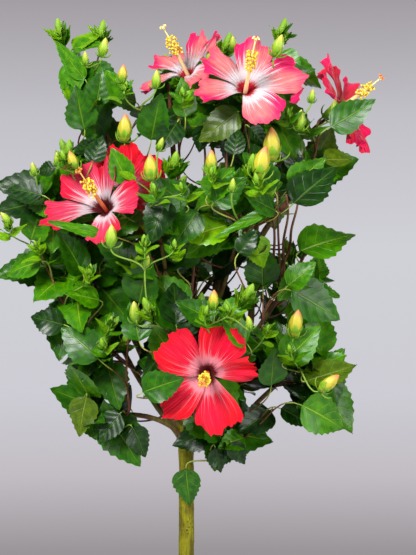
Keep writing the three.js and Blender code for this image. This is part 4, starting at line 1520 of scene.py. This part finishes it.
def make_pot():
    """The pot: its solid's profile with rounded corners, turned round, a little out of round."""
    points = node_points("pot")
    radius = np.hypot(points[:, 0], points[:, 1])
    height = points[:, 2].max()
    rim = radius.max()
    foot = radius[points[:, 2] < 1e-4].max()
    mouth = radius[points[:, 2] > height - 1e-4].min()
    band_foot = np.unique(points[radius > foot + 0.02][:, 2].round(4))[0]
    below_band = radius[np.abs(points[:, 2] - band_foot) < 1e-3].max()
    floor = np.unique(points[points[:, 2] > 1e-4][:, 2].round(4))[0]
    inside_foot = foot - (rim - mouth) / 2
    corners = [
        (DRAIN_HOLE, 0.0), (foot, 0.0), (below_band, band_foot), (rim - 0.001, band_foot + 0.004),
        (rim, height), (mouth, height), (inside_foot, floor), (DRAIN_HOLE, floor),
    ]
    bends = [0.0006, 0.003, 0.0015, 0.003, 0.003, 0.0025, 0.004, 0.0006]
    profile = []
    for index, (corner, bend) in enumerate(zip(corners, bends)):
        profile += round_corner(corners[index - 1], corner, corners[(index + 1) % len(corners)], bend)
    profile.append(profile[0])
    rings = np.empty((len(profile), POT_SIDES, 3))
    for row, (reach, level) in enumerate(profile):
        wobble = POT_WOBBLE if reach > 0.02 else 0.0
        for column, out in enumerate(level_ways(POT_SIDES)):
            stray = wobble * lumps(out * 1.3 + UP * level * 9.0, 1.0)
            rings[row, column] = out * (reach + stray) + UP * level
    sheaf = Sheaf()
    sheaf.add_rings(rings, 0)
    finish_piece(sheaf.build("pot_clay", [clay_material()]), "clay", "pot")


def drop(tree, place, top, missed):
    """The height at which a line down from top meets a solid, or missed."""
    hit = tree.ray_cast(Vector((place[0], place[1], top)), Vector(-UP))[0]
    return hit.z if hit else missed


SOIL_KINDS = [
    soil_material("potting_mix", rgb(38, 27, 19), rgb(78, 58, 42), 420.0),
    soil_material("bark_chips", rgb(70, 44, 28), rgb(120, 84, 56), 260.0),
    soil_material("white_grit", rgb(206, 200, 190), rgb(238, 235, 228), 300.0),
]
MIX, CHIP, GRIT = range(3)


def make_soil():
    """Potting mix: a rough heap of crumbs, bark chips and white grit on the soil's own shape."""
    tree, points = node_tree("soil"), node_points("soil")
    low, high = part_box("soil")
    top = high[2] + 0.02
    edge = high[0] - 0.0006
    rings = np.empty((SOIL_ROWS, SOIL_COLUMNS, 3))
    for row, radius in enumerate(np.linspace(0.002, edge, SOIL_ROWS)):
        for column, out in enumerate(level_ways(SOIL_COLUMNS)):
            place = out * radius
            level = drop(tree, place, top, high[2] - 0.005)
            crumb = lumps(place * 160 + UP * 0.3, 1.0)
            fine = lumps(place * 520 + UP * 1.7, 1.0)
            rings[row, column] = place + UP * (level - 0.0012 + 0.0022 * crumb + 0.0011 * fine)
    sheaf = Sheaf()
    faces, marks = grid(SOIL_ROWS, SOIL_COLUMNS, True)
    sheaf.add(rings.reshape(-1, 3), marks, MIX, faces)
    lowest = points[points[:, 2] < low[2] + 0.001]
    shrink = 0.99 * np.hypot(lowest[:, 0], lowest[:, 1]).max() / edge
    bottom = rings[-1] * (shrink, shrink, 0.0) + UP * low[2]
    wall = np.concatenate([rings[-1], bottom, [UP * low[2]]])
    under = fan(np.arange(SOIL_COLUMNS) + SOIL_COLUMNS, 2 * SOIL_COLUMNS)
    sheaf.add(wall, 0.5, MIX, grid(2, SOIL_COLUMNS, True)[0], under)
    rng = random.Random("crumbs")
    for _ in range(CRUMBS):
        radius = 0.026 + (edge - 0.032) * math.sqrt(rng.random())
        place = round_about(RIGHT, -FRONT, rng.uniform(0, 6.28)) * radius
        place[2] = drop(tree, place, top, high[2]) + 0.0002
        axis = unit([rng.uniform(-1, 1), rng.uniform(-1, 1), rng.uniform(-0.3, 0.3)])
        grit = rng.random() < GRIT_SHARE
        size = rng.uniform(0.0012, 0.0022) if grit else rng.uniform(0.0014, 0.0034)
        long = size * (2.0 if grit else rng.uniform(2.4, 5.0))
        add_ball(sheaf, place, axis, size, long, GRIT if grit else CHIP, sides=6, rows=5)
    finish_piece(sheaf.build("soil_surface", SOIL_KINDS), "soil", "soil")


# ------------------------------------------------------------------- the studio


# Each light's name, place, power in watts and size.
LIGHTS = [
    ("key", (-1.1, -2.0, 2.3), 98.0, 0.9),
    ("fill", (1.7, -1.7, 1.2), 36.0, 1.4),
    ("behind", (1.0, 2.1, 1.7), 24.0, 1.6),
]


def add_light(name, place, power, size):
    light = bpy.data.lights.new(name, "AREA")
    light.energy = power
    light.size = size
    lamp = bpy.data.objects.new(name, light)
    lamp.location = place
    aim = Vector(CROWN_MIDDLE) - Vector(place)
    lamp.rotation_euler = aim.to_track_quat("-Z", "Y").to_euler()
    bpy.context.scene.collection.objects.link(lamp)


def make_studio():
    """The camera, the lights, the backdrop and the floor."""
    scene = bpy.context.scene
    camera_data = bpy.data.cameras.new("camera")
    camera_data.lens = CAMERA_LENS
    camera_data.sensor_width = 36.0
    camera_data.clip_end = 50.0
    camera = bpy.data.objects.new("camera", camera_data)
    camera.location = CAMERA
    camera.rotation_euler = (math.pi / 2, 0.0, 0.0)
    scene.collection.objects.link(camera)
    scene.camera = camera
    for light in LIGHTS:
        add_light(*light)
    scene.view_settings.view_transform = "Standard"
    make_world(scene)
    make_floor()


def make_floor():
    """A pale round floor, which belongs to the studio and not to the plant."""
    mesh = bpy.data.meshes.new("floor")
    rim = FLOOR_RADIUS * level_ways(96)
    mesh.from_pydata(rim.tolist(), [], [list(range(len(rim)))])
    floor = bpy.data.objects.new("floor", mesh)
    bpy.context.scene.collection.objects.link(floor)
    shade = Shade("pale_floor", roughness=0.7)
    grain = shade.noise(shade.own_place(), 6.0)
    mesh.materials.append(shade.finish(shade.mix(grain, rgb(206, 204, 206), rgb(214, 213, 215))))


# The backdrop's tones, from its foot to its top: painted light, palest level with the plant.
BACKDROP = [
    (0.00, rgb(146, 141, 144)), (0.13, rgb(153, 148, 151)), (0.23, rgb(192, 187, 193)),
    (0.34, rgb(204, 203, 211)), (0.54, rgb(207, 207, 214)), (0.72, rgb(192, 191, 197)),
    (0.88, rgb(160, 155, 160)),
]


def make_world(scene):
    """A grey paper backdrop with painted light that is palest level with the plant, and even light all
    round.
    """
    world = bpy.data.worlds.new("studio")
    scene.world = world
    world.use_nodes = True
    world.node_tree.nodes.clear()
    nodes = Nodes(world.node_tree)
    way = nodes.node("ShaderNodeTexCoord").outputs["Generated"]
    rise = nodes.node("ShaderNodeSeparateXYZ", way).outputs[2]
    ramp = nodes.node("ShaderNodeValToRGB", nodes.math("MULTIPLY_ADD", rise, 2.5, 0.5))
    stops = ramp.color_ramp.elements
    for index, (share, colour) in enumerate(BACKDROP):
        stop = stops[index] if index < 2 else stops.new(share)
        stop.position = share
        stop.color = colour
    # The backdrop with its painted light, which only the camera sees.
    seen = nodes.node("ShaderNodeBackground", ramp.outputs[0])
    even = nodes.node("ShaderNodeBackground", (0.98, 0.98, 1.0, 1.0), 0.24)
    to_camera = nodes.node("ShaderNodeLightPath").outputs["Is Camera Ray"]
    both = nodes.node("ShaderNodeMixShader", to_camera, even.outputs[0], seen.outputs[0])
    nodes.node("ShaderNodeOutputWorld", both.outputs[0])


# --------------------------------------------------------------------- assembly


def make_plant():
    wood = Twigs()
    growers, boughs = [], []
    for name, mass in MASSES.items():
        bough = name.replace("foliage", "bough")
        bough_line, radius = make_limb(bough, mass, wood)
        start, direction = bough_line[-1], unit(bough_line[-1] - bough_line[-4])
        growers.append(Grower(mass, start, direction, radius, wood))
        boughs.append(bough_line)
    raise_uprights(wood)
    chosen = place_shown_leaves()
    for grower in growers:
        grower.grow()
    for grower, bough_line in zip(growers, boughs):
        if grower.mass.name not in OPEN_MASSES:
            grower.clothe_bough(bough_line)
    show_leaves(chosen, wood)
    stalks = Sheaf()
    rng = random.Random("blooms")
    for bloom in BLOOMS:
        for petal in bloom.petals:
            add_petal(OPEN_BLOOMS, bloom, *petal, rng)
        add_column(OPEN_BLOOMS, bloom, rng)
        add_calyx(OPEN_BLOOMS, bloom.foot, bloom.axis, 0.0078, 0.024, 0.003, 0.016, rng)
        add_stalk(stalks, wood, bloom.foot, bloom.axis, 0.0013, GREEN_TWIG, avoid=bloom)
    hang_buds(CLOSED_BUDS, stalks, wood)
    for grower in growers:
        short = grower.mass.name.replace("foliage_", "")
        leaves = grower.leaves.build("leaves_" + short, LEAF_TINTS)
        finish_piece(leaves, "foliage", grower.mass.name)
        twigs = grower.twigs.build("twigs_" + short, TWIG_KINDS)
        finish_piece(twigs, "bough_bark")
    finish_piece(stalks.build("flower_stalks", TWIG_KINDS), "bough_bark")
    finish_piece(OPEN_BLOOMS.build("open_blooms", BLOOM_KINDS), "blossom")
    finish_piece(CLOSED_BUDS.build("buds", BLOOM_KINDS), "blossom")


make_studio()
make_stem()
make_pot()
make_soil()
make_plant()
